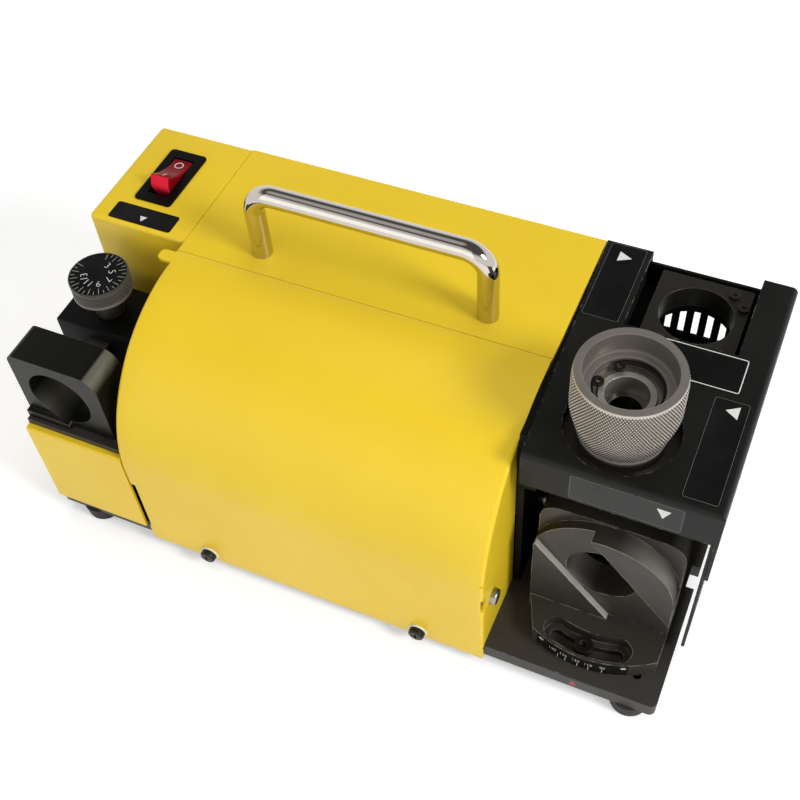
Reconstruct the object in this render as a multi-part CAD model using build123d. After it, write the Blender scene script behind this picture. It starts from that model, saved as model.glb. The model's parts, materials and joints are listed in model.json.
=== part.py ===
from build123d import *
import math
import os

# Drill bit grinder in millimetres: +X to the grinding stations, +Y to the back, floor at Z = 0.

# Overall sizes, sheet metal and clearances
overall_length = 320.0
body_depth = 153.0
top_height = 136.0
sheet = 1.5
bend_radius = 1.2
box_bend = 2.4
seam_gap = 0.3
rest_gap = 0.1
running_gap = 0.05
thread_gap = 0.02
turning_gap = 0.3
cut_margin = 1.0

# Base plate and feet
foot_height = 9.0
foot_radius = 10.0
foot_taper = 1.0
foot_inset_x = 18.0
foot_inset_y = 12.0
foot_front_inset = 8.5
foot_recess_depth = 5.0
base_thickness = 8.5
base_end_gap = 5.0
base_corner_radius = 3.0
base_notch_length = 12.0
base_notch_depth = 4.0
base_notch_from_front = 64.0
spare_hole_from_front = 12.4
spare_hole_from_right = 12.0

# Screws
screw_radius = 2.0
screw_length = 8.0
head_radius = 3.9
head_height = 3.0
head_round = 1.2
recess_width = 0.9
recess_depth = 1.6
washer_thickness = 0.8
washer_radius = 4.7
seat_screw_length = 16.0
handle_screw_radius = 2.5
handle_screw_length = 12.0
flange_width = 11.0

# Switch box and setting pedestal at the left end
switch_box_width = 53.0
switch_box_front = 84.0
pedestal_height = 55.2
pedestal_overhang = 2.7

# Curved front cover and main housing
cover_radius = 70.0
cover_seam_from_front = 77.9
cover_side_depth = 37.5
cover_end_gap = 0.2
cover_overhang = 10.8
cover_slit_height = 58.0
cover_slit_length = 10.0
cover_slit_width = 1.0
cover_tab_reach = 7.0
cover_tab_width = 6.4
cover_tab_from_seam = 7.6
cover_tab_round = 2.9
cover_screw_rise = 2.8
cover_screw_centre_x = -14.6
cover_screw_spread = 112.6
side_screw_from_front = 9.7
side_screw_height = 31.3
cover_bracket_thickness = 3.0
cover_bracket_length = 18.0
cover_bracket_height = 40.0
lip_depth = 8.0
housing_flange_height = 26.0
housing_vent_low = 40.0
housing_vent_length = 55.0
housing_vent_pitch = 9.0
housing_vent_count = 11

# Carry handle
handle_centre_x = -14.2
handle_span = 110.0
handle_rod_radius = 4.8
handle_height = 41.4
handle_bend = 11.0

# Power switch
bezel_width = 20.0
bezel_length = 37.5
bezel_thickness = 1.0
bezel_round = 2.0
switch_from_left = 25.0
switch_from_front = 119.8
switch_wall = 1.2
switch_body_depth = 20.0
rocker_width = 10.0
rocker_length = 22.0
rocker_throw = 20.0
rocker_pivot_drop = 2.5
rocker_depth = 8.0
rocker_dish = 2.0
rocker_gap = 0.4
rocker_pin_radius = 1.2
terminal_length = 8.0
terminal_width = 6.3
terminal_thickness = 0.8
terminal_spacing = 9.0

# Setting station
setting_axis_from_left = 22.5
setting_axis_above_base = 20.0
setting_base_thickness = 3.3
setting_base_width = 52.0
setting_base_front = 1.6
setting_base_gap = 1.0
setting_block_front = 6.0
setting_block_depth = 20.0
setting_block_half = 22.5
setting_block_round = 4.0
setting_block_right = 24.5
setting_block_corner = 9.0
setting_lip = 2.5
setting_lip_length = 24.0
setting_lip_height = 4.5
setting_screw_spread = 29.0
dial_from_front = 55.3
dial_radius = 14.1
dial_drop = 5.0
dial_height = 10.0
dial_edge = 0.6
dial_neck_radius = 7.0
bracket_front = 41.7
bracket_depth = 30.0
bracket_height = 31.0
bracket_round = 2.0
stem_radius = 3.5
stem_into_knob = 6.0
cam_low_radius = 4.2
cam_lead = 5.0
cam_sweep = 300.0
cam_rest_turn = 262.5
cam_thickness = 7.0
cam_play = 0.3
chamber_gap = 1.2
stop_width = 11.0
stop_height = 8.0
stop_above_base = 15.0
stop_nose_from_front = 34.0

# Grinding stations
station_width = 82.0
bulkhead_thickness = 3.0
bulkhead_front = 38.0
bulkhead_flange = 15.0
deck_front = 28.0
deck_skirt = 19.5
deck_left_skirt = 15.0
deck_flange = 46.0
deck_hole_radius = 23.7
deck_bend = 3.0
deck_notch_left = 18.0
deck_notch_width = 49.0
deck_notch_depth = 46.0
deck_lip_depth = 9.5
deck_lip_from_back = 9.0
back_wall_drop = 6.0
seat_drop = 6.5
seat_thickness = 11.5
seat_round = 3.0
relief_seat_round = 0.8
seat_screw_inset = 4.5
relief_screw_circle = 20.6
relief_screw_turns = (52.0, 29.0)
cap_head_radius = 2.3
cap_head_height = 1.6
cap_shank_radius = 1.4
cap_socket = 2.4
bridge_thickness = 6.0
bridge_leg_height = 15.0
bridge_leg_thickness = 5.0
bridge_front = 33.0
bridge_right_gap = 6.0
bridge_hole_gap = 2.0
chuck_fit_radius = 16.2
split_seat_size = 50.0
relief_seat_width = 41.0
relief_seat_depth = 44.0
relief_seat_offset = 0.3
side_panel_drop = 4.0
side_panel_height = 108.0
side_panel_corner = 3.0
vent_width = 2.9
vent_pitch = 6.35
vent_count = 7
vent_low = 90.4
vent_length = 24.0
vent_shift = 2.2
standoff_radius = 4.0
standoff_inset = 10.0

# Grinding wheel and motor
station_offset = 1.0
motor_axis_from_front = 91.0
wheel_offset = 1.0
wheel_radius = 39.0
wheel_width = 11.0
wheel_bevel = 31.0
wheel_floor_gap = 3.5
abrasive_depth = 4.0
split_grip = 3.0
relief_grip = 1.5
motor_radius = 38.0
motor_wall = 3.0
motor_left_gap = 30.7
bell_length = 17.0
bell_wall = 10.0
bell_screw_radius = 27.0
shaft_radius = 5.0
shaft_tail = 16.0
bearing_radius = 13.0
bearing_width = 8.0
bearing_lip_radius = 8.0
armature_radius = 26.0
commutator_room = 35.0
armature_from_bell = 12.0
armature_slots = 12
armature_slot_width = 3.0
armature_slot_depth = 9.0
air_gap = 0.8
magnet_half_angle = 60.0
commutator_radius = 14.0
commutator_length = 16.0
commutator_gap = 4.0
brush_size = 6.0
brush_length = 14.0
brush_wall = 1.5
fan_radius = 34.0
fan_width = 10.0
fan_gap = 3.0
fan_hub_radius = 10.0
fan_disc = 2.0
fan_blade_thickness = 2.0
fan_blades = 9
hub_radius = 9.0
hub_gap = 3.0
wheel_flange_radius = 16.0
wheel_flange_width = 5.0
wheel_nut_width = 17.0
wheel_nut_height = 7.0
shaft_past_nut = 2.0

# Point angle seat
pivot_from_axis = 31.0
seat_half_width = 32.0
seat_arch_radius = 33.0
seat_face_from_pivot = 28.7
seat_plate_from_pivot = 24.5
seat_rear_from_pivot = 14.0
seat_chuck_gap = 7.6
seat_plate_corner = 10.0
seat_foot_half_width = 32.0
seat_foot_left_half = 19.9
seat_foot_cut_from_pivot = 30.7
seat_foot_thickness = 10.0
seat_foot_radius = 53.9
pivot_pin_radius = 3.0
pivot_head_radius = 5.0
pivot_head_height = 2.5
pivot_ear_radius = 7.0
pivot_ear_thickness = 4.5
slot_radius = 46.6
slot_half_sweep = 18.0
slot_head_width = 12.0
slot_shank_width = 5.8
slot_floor = 4.0
clamp_shank_radius = 2.5
clamp_head_radius = 4.3
clamp_head_height = 5.0
clamp_socket = 4.0
low_cam_rise = 3.0
high_cam_rise = 5.5
groove_half_width = 16.0
groove_tilt = 39.0

# Chuck
sleeve_radius = 22.2
sleeve_foot_radius = 17.8
sleeve_taper_height = 21.0
sleeve_rim_width = 1.0
sleeve_rim_height = 4.0
sleeve_above_deck = 35.0
sleeve_edge = 0.8
sleeve_mouth_radius = 18.2
sleeve_mouth_depth = 9.6
sleeve_step_radius = 14.4
sleeve_step_depth = 5.8
sleeve_web = 8.0
chuck_flange_height = 4.0
chuck_flange_radius = 17.8
chuck_nose_radius = 16.0
chuck_nose_length = 28.0
chuck_tube_wall = 2.3
draw_tube_radius = 11.4
draw_tube_bore = 8.8
draw_tube_proud = 1.0
draw_tube_clear = 2.0
collet_bore_radius = 6.6
collet_taper_length = 22.0
collet_mouth_radius = 12.0
collet_throat_radius = 9.0
collet_slits = 6
collet_slit_width = 0.8
collet_slit_length = 20.0
collet_travel = 1.5
taper_gap = 0.15
thread_engagement = 20.0
circlip_thickness = 1.2
circlip_width = 1.8
circlip_groove = 0.6
circlip_lift = 3.0
circlip_gap_start = 123.0
circlip_gap_end = 179.0
circlip_ear_radius = 2.4
circlip_ear_hole = 0.9

# Cord gland and rectifier
gland_from_left = 26.0
gland_above_base = 24.0
gland_radius = 6.0
gland_bore = 3.4
gland_hex_width = 18.0
gland_reach = 8.0
gland_nut_height = 5.0
rectifier_length = 28.0
rectifier_height = 10.0
rectifier_from_front = 9.0

# Places worked out from the sizes
front_reach = sheet + washer_thickness + head_height
left = -overall_length / 2
right = overall_length / 2
front = -(body_depth + gland_reach - front_reach) / 2
back = front + body_depth
base_top = foot_height + base_thickness
base_right = right - base_end_gap
under_top = top_height - sheet
deck_left = right - station_width
bulkhead_right = deck_left - seam_gap
bulkhead_left = bulkhead_right - bulkhead_thickness
housing_left = left + switch_box_width
housing_right = bulkhead_left - seam_gap
cover_right = housing_right - cover_end_gap
seam_y = front + cover_seam_from_front
cover_face = front - sheet
axis_y = front + motor_axis_from_front
axis_z = base_top + wheel_floor_gap + wheel_radius
station_x = (deck_left + right) / 2 - station_offset
wheel_x = station_x - wheel_offset
wheel_left = wheel_x - wheel_width / 2
wheel_right = wheel_x + wheel_width / 2
split_x = wheel_left
split_y = axis_y - wheel_radius + split_grip
relief_x = wheel_right
relief_y = axis_y + wheel_radius - relief_grip
seat_top = top_height - seat_drop
bridge_top = seat_top - seat_thickness
bridge_low = bridge_top - bridge_thickness
side_panel_x = right - sheet
pivot_y = axis_y - pivot_from_axis
setting_x = left + setting_axis_from_left
pedestal_top = base_top + pedestal_height
setting_top = pedestal_top + setting_base_thickness
setting_z = setting_top + setting_axis_above_base
dial_y = front + dial_from_front
dial_top = top_height - dial_drop
stop_low = setting_top + stop_above_base
cam_low = stop_low + (stop_height - cam_thickness) / 2
cam_rest_radius = cam_low_radius + cam_lead * cam_rest_turn / cam_sweep
can_right = bulkhead_left - bell_length
rear_bell_left = housing_left + motor_left_gap
can_left = rear_bell_left + bell_length
chuck_seat = seat_top + rest_gap
chuck_bottom = chuck_seat - chuck_nose_length
chuck_shoulder = chuck_seat + chuck_flange_height
sleeve_bottom = chuck_shoulder + rest_gap
sleeve_top = top_height + sleeve_above_deck
cup_floor = sleeve_top - sleeve_mouth_depth - sleeve_step_depth
web_low = cup_floor - sleeve_web
chuck_bore = draw_tube_radius + turning_gap
chuck_tube_radius = chuck_bore + chuck_tube_wall
draw_tube_top = cup_floor + draw_tube_proud
throat_z = chuck_bottom + collet_taper_length
draw_tube_low = throat_z + collet_travel + draw_tube_clear
switch_x = left + switch_from_left
switch_y = front + switch_from_front
bezel_top = top_height + bezel_thickness
rocker_z = bezel_top - rocker_pivot_drop


def slab(x0, x1, y0, y1, z0, z1):
    """A block between two corners."""
    return Pos((x0 + x1) / 2, (y0 + y1) / 2, (z0 + z1) / 2) * Box(x1 - x0, y1 - y0, z1 - z0)


def rod_x(x0, x1, y, z, radius):
    """A round bar along X."""
    return Pos((x0 + x1) / 2, y, z) * Rot(0, 90, 0) * Cylinder(radius, x1 - x0)


def rod_y(y0, y1, x, z, radius):
    """A round bar along Y."""
    return Pos(x, (y0 + y1) / 2, z) * Rot(90, 0, 0) * Cylinder(radius, y1 - y0)


def rod_z(z0, z1, x, y, radius):
    """A round bar along Z."""
    return Pos(x, y, (z0 + z1) / 2) * Cylinder(radius, z1 - z0)


def along_x(face, x0, x1):
    """A face drawn in (y, z), carried from x0 to x1."""
    return extrude(Plane((x0, 0, 0), x_dir=(0, 1, 0), z_dir=(1, 0, 0)) * face, x1 - x0)


def cut(shape, tools):
    """A shape less each of the tools."""
    for tool in tools:
        shape = shape - tool
    return shape


def group(shapes):
    """Separate solids kept together under one name."""
    return Compound(children=[solid for shape in shapes for solid in shape.solids()])


def screw(at, toward, length, shank_radius=screw_radius):
    """A cross-recessed pan-head screw whose head seats at a point."""
    head = Pos(0, 0, head_height / 2) * Cylinder(head_radius, head_height)
    head = fillet(head.edges().sort_by(Axis.Z)[-1], head_round)
    cross = Box(2 * shank_radius, recess_width, 2 * recess_depth)
    cross = cross + Box(recess_width, 2 * shank_radius, 2 * recess_depth)
    shank = Pos(0, 0, -length / 2) * Cylinder(shank_radius, length)
    whole = head - Pos(0, 0, head_height) * cross + shank
    return Plane(at, z_dir=-Vector(*toward)) * whole


def screw_hole(at, toward, length, shank_radius=screw_radius):
    """The hole that a screw's shank passes through."""
    deep = length + 2 * cut_margin
    hole = Pos(0, 0, -length / 2) * Cylinder(shank_radius + thread_gap, deep)
    return Plane(at, z_dir=-Vector(*toward)) * hole


def hexagon(x0, x1, y, z, width):
    """A hexagonal bar along X."""
    face = RegularPolygon(width / 2, 6, major_radius=False)
    return along_x(Pos(y, z) * face, x0, x1)


up = (0, 0, 1)
down = (0, 0, -1)
to_left = (-1, 0, 0)
to_back = (0, 1, 0)

foot_x = [left + foot_inset_x, right - foot_inset_x]
foot_y = [front + foot_front_inset, back - foot_inset_y]
foot_points = [(x, y) for x in foot_x for y in foot_y]
foot_screw_z = foot_recess_depth

cover_screw_x = [cover_screw_centre_x + side * cover_screw_spread / 2 for side in (-1, 1)]
cover_screw_z = foot_height + cover_screw_rise
handle_x = [handle_centre_x + side * handle_span / 2 for side in (-1, 1)]

side_screw_at = (cover_right, front + side_screw_from_front, base_top + side_screw_height)
bracket_foot_x = cover_right - sheet - 2 * cover_bracket_thickness - head_radius
bracket_foot_at = (bracket_foot_x, front + side_screw_from_front, base_top + cover_bracket_thickness)

flange_y = back - sheet - flange_width / 2
flange_z = base_top + sheet
housing_flange_at = [(x, flange_y, flange_z) for x in (housing_left + flange_width, can_right)]
switch_box_flange_at = [(left + sheet + flange_width, flange_y, flange_z)]
back_wall_flange_at = [(x, flange_y, flange_z) for x in (deck_left + flange_width, wheel_x)]
pedestal_flange_x = left + sheet + flange_width / 2
pedestal_flange_at = [(pedestal_flange_x, front + part, flange_z) for part in (flange_width, dial_from_front)]
bulkhead_foot_x = bulkhead_left - bulkhead_flange / 2
bulkhead_foot_z = base_top + bulkhead_thickness
bulkhead_foot_y = [front + bulkhead_front + flange_width / 2, back - 2 * flange_width]
bulkhead_foot_at = [(bulkhead_foot_x, y, bulkhead_foot_z) for y in bulkhead_foot_y]
bridge_leg_right = bulkhead_right + bridge_leg_thickness
bridge_leg_z = bridge_low - bridge_leg_height / 2
bridge_leg_y = [front + bridge_front + 2 * flange_width, relief_y]
bridge_leg_at = [(bridge_leg_right, y, bridge_leg_z) for y in bridge_leg_y]
bell_turns = [math.radians(turn) for turn in (45, 135, 225, 315)]
bell_screw_at = [
    (bulkhead_right, axis_y + bell_screw_radius * math.cos(turn), axis_z + bell_screw_radius * math.sin(turn))
    for turn in bell_turns
]
setting_under = pedestal_top - sheet
block_row = front + setting_block_front + setting_block_depth / 2
bracket_row = front + bracket_front + bracket_depth / 2
setting_screw_x = [setting_x + side * setting_screw_spread / 2 for side in (-1, 1)]
setting_screw_at = [(x, y, setting_under) for x in setting_screw_x for y in (block_row, bracket_row)]
base_screw_at = housing_flange_at + switch_box_flange_at + back_wall_flange_at + pedestal_flange_at
base_screw_at = base_screw_at + bulkhead_foot_at + [bracket_foot_at]

split_screw_reach = split_seat_size / 2 - seat_screw_inset
split_screw_x = [split_x + side * split_screw_reach for side in (-1, 1)]
split_screw_y = [split_y + side * split_screw_reach for side in (-1, 1)]
split_screw_at = [(x, y, seat_top) for x in split_screw_x for y in split_screw_y]
relief_seat_left = relief_x - relief_seat_width / 2
relief_seat_front = relief_y - relief_seat_depth / 2 - relief_seat_offset
relief_seat_back = relief_seat_front + relief_seat_depth
relief_turns = [math.radians(turn) for turn in relief_screw_turns]
relief_screw_at = [
    (relief_x + relief_screw_circle * math.cos(turn), relief_y + relief_screw_circle * math.sin(turn), seat_top)
    for turn in relief_turns
]

panel_screw_z = under_top - deck_flange / 2
panel_screw_at = [(right, front + deck_front + flange_width, panel_screw_z), (right, relief_y, panel_screw_z)]
clamp_at = (wheel_x, pivot_y - slot_radius, base_top + slot_floor)


def base_plate():
    plate = slab(left, base_right, front, back, foot_height, base_top)
    plate = fillet(plate.edges().filter_by(Axis.Z), base_corner_radius)
    notch_front = front + base_notch_from_front
    notch_left = base_right - base_notch_depth
    notch = slab(notch_left, right, notch_front, notch_front + base_notch_length, 0, top_height)
    spare_x = base_right - spare_hole_from_right
    spare = rod_z(0, top_height, spare_x, front + spare_hole_from_front, screw_radius)
    pin = rod_z(0, top_height, station_x, pivot_y, pivot_pin_radius + thread_gap)
    clamp = screw_hole(clamp_at, down, slot_floor + base_thickness, clamp_shank_radius)
    plate = cut(plate, [notch, spare, pin, clamp])
    plate = cut(plate, [screw_hole((x, y, foot_screw_z), up, screw_length) for x, y in foot_points])
    plate = cut(plate, [screw_hole((x, front, cover_screw_z), to_back, screw_length) for x in cover_screw_x])
    return cut(plate, [screw_hole(at, down, screw_length) for at in base_screw_at])


def rubber_feet():
    feet = []
    for x, y in foot_points:
        foot = Pos(x, y, foot_height / 2) * Cone(foot_radius - foot_taper, foot_radius, foot_height)
        recess = rod_z(-cut_margin, foot_recess_depth, x, y, head_radius + rest_gap)
        feet.append(foot - recess - screw_hole((x, y, foot_screw_z), up, screw_length))
    return group(feet)


def foot_screws():
    return group([screw((x, y, foot_screw_z), up, screw_length) for x, y in foot_points])


def cover_face_outline(inset):
    """The cover's side outline in (y, z): front, round shoulder and flat top, inset by a thickness."""
    face = cover_face + inset
    high = top_height - inset
    radius = cover_radius - inset
    low = base_top - cover_overhang
    shoulder = face + radius
    sweep = ThreePointArc(
        (face, high - radius),
        (shoulder - radius * math.cos(math.pi / 4), high - radius + radius * math.sin(math.pi / 4)),
        (shoulder, high),
    )
    front_edge = Line((face, low), (face, high - radius))
    rest = Polyline((shoulder, high), (seam_y, high), (seam_y, low), (face, low))
    return make_face(front_edge + sweep + rest)


def front_cover():
    skin = along_x(cover_face_outline(0), housing_left, cover_right)
    ends = skin.edges().filter_by(lambda edge: abs(edge.bounding_box().size.X) < thread_gap)
    outer = ends.filter_by(lambda edge: edge.center().Z > base_top and edge.center().Y < seam_y - thread_gap)
    skin = fillet(outer, bend_radius)
    hollow = along_x(cover_face_outline(sheet), housing_left + sheet, cover_right - sheet)
    x0 = housing_left + sheet
    inside = slab(x0, cover_right - sheet, seam_y - lip_depth, seam_y + cut_margin, 0, under_top)
    below = slab(left, right, front, back, 0, base_top)
    right_rear = slab(cover_right - sheet, right, front + cover_side_depth, back, 0, under_top)
    slit_z = base_top + cover_slit_height
    slit_back = front + cover_slit_length
    slit_top = slit_z + cover_slit_width
    slit = slab(cover_right - 2 * sheet, right, front - 2 * sheet, slit_back, slit_z, slit_top)
    cover = cut(skin, [hollow, inside, below, right_rear, slit])
    tab_y = seam_y - cover_tab_from_seam
    tab_left = housing_left - cover_tab_reach
    tab = slab(tab_left, x0, tab_y, tab_y + cover_tab_width, under_top, top_height)
    corners = tab.edges().filter_by(Axis.Z).group_by(Axis.X)[0]
    tab = fillet(corners, cover_tab_round) - slab(housing_left, right, seam_y, back, 0, top_height)
    front_holes = [screw_hole((x, cover_face, cover_screw_z), to_back, sheet) for x in cover_screw_x]
    return cut(cover + tab, front_holes + [screw_hole(side_screw_at, to_left, sheet)])


def cover_screws():
    seat = cover_face - washer_thickness
    length = screw_length + sheet
    return group([screw((x, seat, cover_screw_z), to_back, length) for x in cover_screw_x])


def cover_washers():
    washers = []
    for x in cover_screw_x:
        disc = rod_y(cover_face - washer_thickness, cover_face, x, cover_screw_z, washer_radius)
        washers.append(disc - screw_hole((x, cover_face, cover_screw_z), to_back, washer_thickness))
    return group(washers)


def cover_bracket():
    face = cover_right - sheet
    y0 = side_screw_at[1] - cover_bracket_length / 2
    y1 = side_screw_at[1] + cover_bracket_length / 2
    upright = slab(face - cover_bracket_thickness, face, y0, y1, base_top, base_top + cover_bracket_height)
    foot_left = bracket_foot_x - head_radius - cover_bracket_thickness
    foot = slab(foot_left, face, y0, y1, base_top, base_top + cover_bracket_thickness)
    side_hole = screw_hole(side_screw_at, to_left, screw_length)
    return upright + foot - side_hole - screw_hole(bracket_foot_at, down, screw_length)


def cover_side_screw():
    return screw(side_screw_at, to_left, sheet + cover_bracket_thickness)


def main_housing():
    y0 = seam_y + seam_gap
    box = slab(housing_left, housing_right, y0, back, base_top, top_height)
    rear_edges = box.edges().filter_by(Axis.X).sort_by(lambda edge: edge.center().Y + edge.center().Z)[-1:]
    box = fillet(rear_edges, bend_radius)
    inner = slab(housing_left + sheet, housing_right - sheet, y0 - cut_margin, back - sheet, 0, under_top)
    side_low = under_top - housing_flange_height
    open_side = slab(housing_right - 2 * sheet, right, front, back - sheet, 0, side_low)
    shell = box - inner - open_side
    lip_left = housing_left + sheet + seam_gap
    lip_right = cover_right - sheet - seam_gap
    lip = slab(lip_left, lip_right, seam_y - lip_depth, seam_y + lip_depth, under_top - sheet, under_top)
    flange = slab(housing_left, housing_right, back - sheet - flange_width, back - sheet, base_top, flange_z)
    shell = shell + lip + flange
    low = base_top + housing_vent_low
    high = low + housing_vent_length
    vents = []
    for index in range(housing_vent_count):
        x = handle_centre_x + (index - (housing_vent_count - 1) / 2) * housing_vent_pitch
        vents.append(slab(x, x + vent_width, back - 2 * sheet, back + sheet, low, high))
    handle_holes = [screw_hole((x, axis_y, under_top), up, sheet, handle_screw_radius) for x in handle_x]
    return cut(shell, vents + handle_holes + [screw_hole(at, down, sheet) for at in housing_flange_at])


def carry_handle():
    bar_z = top_height + handle_height - handle_rod_radius
    corners = [(handle_x[0], axis_y, top_height), (handle_x[0], axis_y, bar_z)]
    corners = corners + [(handle_x[1], axis_y, bar_z), (handle_x[1], axis_y, top_height)]
    path = FilletPolyline(*corners, radius=handle_bend)
    rod = sweep(Plane(path @ 0, z_dir=path % 0) * Circle(handle_rod_radius), path)
    depth = handle_screw_length
    return cut(rod, [screw_hole((x, axis_y, under_top), up, depth, handle_screw_radius) for x in handle_x])


def handle_screws():
    length = handle_screw_length
    return group([screw((x, axis_y, under_top), up, length, handle_screw_radius) for x in handle_x])


def on_switch(half_width, half_length, z0, z1):
    """A block centred on the switch."""
    y0 = switch_y - half_length
    return slab(switch_x - half_width, switch_x + half_width, y0, switch_y + half_length, z0, z1)


def switch_opening(gap):
    """The length that the rocker sweeps below the switch's face."""
    tip = rocker_tip()
    return math.hypot(rocker_length / 2, tip) + gap


def rocker_tip():
    """Height of the rocker's ends over its pivot, so that the pressed end lies flush with the face."""
    tilt = math.radians(rocker_throw)
    return (rocker_pivot_drop + rocker_length / 2 * math.sin(tilt)) / math.cos(tilt)


def switch_bezel():
    half = switch_opening(rocker_gap)
    half_width = rocker_width / 2 + rocker_gap
    face = on_switch(bezel_width / 2, bezel_length / 2, top_height, bezel_top)
    face = fillet(face.edges().filter_by(Axis.Z), bezel_round)
    body_low = top_height - switch_body_depth
    body_wide = half_width + switch_wall
    body = on_switch(body_wide, half + switch_wall, body_low, top_height)
    dip = rocker_length / 2 * math.sin(math.radians(rocker_throw))
    well = on_switch(half_width, half, rocker_z - rocker_depth - dip - rocker_gap, bezel_top)
    pin_radius = rocker_pin_radius + running_gap
    pin = rod_x(switch_x - body_wide, switch_x + body_wide, switch_y, rocker_z, pin_radius)
    return face + body - well - pin


def switch_terminals():
    low = top_height - switch_body_depth
    blades = []
    for step in (-1, 0, 1):
        blade = on_switch(terminal_width / 2, terminal_thickness / 2, low - terminal_length, low)
        blades.append(Pos(0, step * terminal_spacing, 0) * blade)
    return group(blades)


def rocker():
    half = rocker_length / 2
    tip = rocker_tip()
    dish = ThreePointArc((-half, tip), (0, tip - rocker_dish), (half, tip))
    keel = half / 2
    lower = [(half, 0), (keel, -rocker_depth), (-keel, -rocker_depth), (-half, 0)]
    sides = Polyline((half, tip), *lower, (-half, tip))
    body = along_x(make_face(dish + sides), -rocker_width / 2, rocker_width / 2)
    reach = rocker_width / 2 + rocker_gap + switch_wall
    body = body + rod_x(-reach, reach, 0, 0, rocker_pin_radius)
    return Pos(switch_x, switch_y, rocker_z) * Rot(-rocker_throw, 0, 0) * body


def switch_box():
    box_right = housing_left - seam_gap
    y0 = front + switch_box_front
    box = slab(left, box_right, y0, back, base_top, top_height)
    top_edges = box.edges().group_by(Axis.Z)[-1].filter_by(lambda edge: edge.center().X < box_right - sheet)
    upright = box.edges().filter_by(Axis.Z).group_by(Axis.X)[0]
    box = fillet(top_edges + upright, box_bend)
    inner = slab(left + sheet, right, y0 + sheet, back - sheet, 0, under_top)
    flange = slab(left + sheet, box_right, back - sheet - flange_width, back - sheet, base_top, flange_z)
    half = switch_opening(rocker_gap) + switch_wall + rest_gap
    wide = rocker_width / 2 + rocker_gap + switch_wall + rest_gap
    opening = on_switch(wide, half, base_top, top_height + cut_margin)
    gland_z = base_top + gland_above_base
    gland = rod_y(back - 2 * sheet, back + sheet, left + gland_from_left, gland_z, gland_radius + rest_gap)
    shell = (box - inner + flange) - opening - gland
    return cut(shell, [screw_hole(at, down, sheet) for at in switch_box_flange_at])


def setting_pedestal():
    edge = housing_left - seam_gap
    rear = front + switch_box_front - seam_gap
    face = slab(left, edge, cover_face, front, base_top - pedestal_overhang, pedestal_top)
    side = slab(left, left + sheet, front, rear, base_top, pedestal_top)
    top = slab(left, edge, front, rear, setting_under, pedestal_top)
    flange = slab(left, left + sheet + flange_width, front, rear, base_top, flange_z)
    shell = face + side + top + flange
    top_corner = shell.edges().filter_by(Axis.X).filter_by(lambda e: e.center().Y < front - sheet / 2)
    shell = fillet(top_corner.sort_by(Axis.Z)[-1:], bend_radius)
    holes = [screw_hole(at, up, sheet) for at in setting_screw_at]
    return cut(shell, holes + [screw_hole(at, down, sheet) for at in pedestal_flange_at])


def setting_base():
    y0 = front + setting_base_front
    y1 = front + switch_box_front - setting_base_gap
    plate = slab(left, left + setting_base_width, y0, y1, pedestal_top, setting_top)
    return cut(plate, [screw_hole(at, up, screw_length) for at in setting_screw_at])


def setting_block():
    y0 = front + setting_block_front
    y1 = y0 + setting_block_depth
    edge = setting_x + setting_block_right
    body = slab(left, edge, y0, y1, setting_top, setting_z + setting_block_half)
    corner = body.edges().filter_by(Axis.Y).sort_by(lambda e: e.center().Z - e.center().X)[-1:]
    body = fillet(corner, setting_block_round)
    corner = body.edges().filter_by(Axis.Y).sort_by(lambda e: e.center().Z + e.center().X)[-1:]
    body = fillet(corner, setting_block_corner)
    lip_edge = left + setting_lip_length
    lip = slab(left, lip_edge, y0 - setting_lip, y0, setting_top, setting_top + setting_lip_height)
    end = lip.edges().filter_by(Axis.Y).sort_by(lambda e: e.center().X + e.center().Z)[-1:]
    lip = fillet(end, setting_lip_height / 2)
    bore = rod_y(y0 - setting_block_depth, y1 + cut_margin, setting_x, setting_z, chuck_fit_radius)
    under = slab(left, right, front, back, 0, setting_top)
    return cut(body + lip - bore - under, [screw_hole(at, up, screw_length) for at in setting_screw_at])


def dial_bracket():
    y0 = front + bracket_front
    y1 = y0 + bracket_depth
    high = setting_top + bracket_height
    block = slab(left, setting_x + setting_block_half, y0, y1, setting_top, high)
    block = fillet(block.edges().group_by(Axis.Z)[-1], bracket_round)
    chamber_radius = cam_low_radius + cam_lead + chamber_gap
    ceiling = stop_low + stop_height + rest_gap
    chamber = rod_z(setting_top - cut_margin, ceiling, setting_x, dial_y, chamber_radius)
    bore = rod_z(setting_top, high + cut_margin, setting_x, dial_y, stem_radius + running_gap)
    half = stop_width / 2 + rest_gap
    low = stop_low - rest_gap
    channel = slab(setting_x - half, setting_x + half, y0 - cut_margin, dial_y, low, ceiling)
    holes = [screw_hole(at, up, screw_length) for at in setting_screw_at]
    return cut(block, [chamber, bore, channel] + holes)


def dial_knob():
    low = dial_top - dial_height
    disc = rod_z(low, dial_top, setting_x, dial_y, dial_radius)
    disc = chamfer(disc.edges(), dial_edge)
    neck = rod_z(setting_top + bracket_height, low, setting_x, dial_y, dial_neck_radius)
    socket = rod_z(setting_top, low + stem_into_knob, setting_x, dial_y, stem_radius)
    return disc + neck - socket


def dial_stem():
    shaft = rod_z(setting_top, dial_top - dial_height + stem_into_knob, setting_x, dial_y, stem_radius)
    points = []
    for turn in range(0, int(cam_sweep) + 1, 15):
        angle = math.radians(turn - cam_rest_turn - 90)
        radius = cam_low_radius + cam_lead * turn / cam_sweep
        points.append((radius * math.cos(angle), radius * math.sin(angle)))
    spiral = Spline(points)
    step = Line(points[-1], points[0])
    cam = extrude(make_face(spiral + step), cam_thickness)
    return shaft + Pos(setting_x, dial_y, cam_low) * cam


def stop_slide():
    tail = dial_y - cam_rest_radius - cam_play
    half = stop_width / 2
    nose = front + stop_nose_from_front
    bar = slab(setting_x - half, setting_x + half, nose, tail, stop_low, stop_low + stop_height)
    return chamfer(bar.edges().group_by(Axis.Y)[0], dial_edge)


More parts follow.
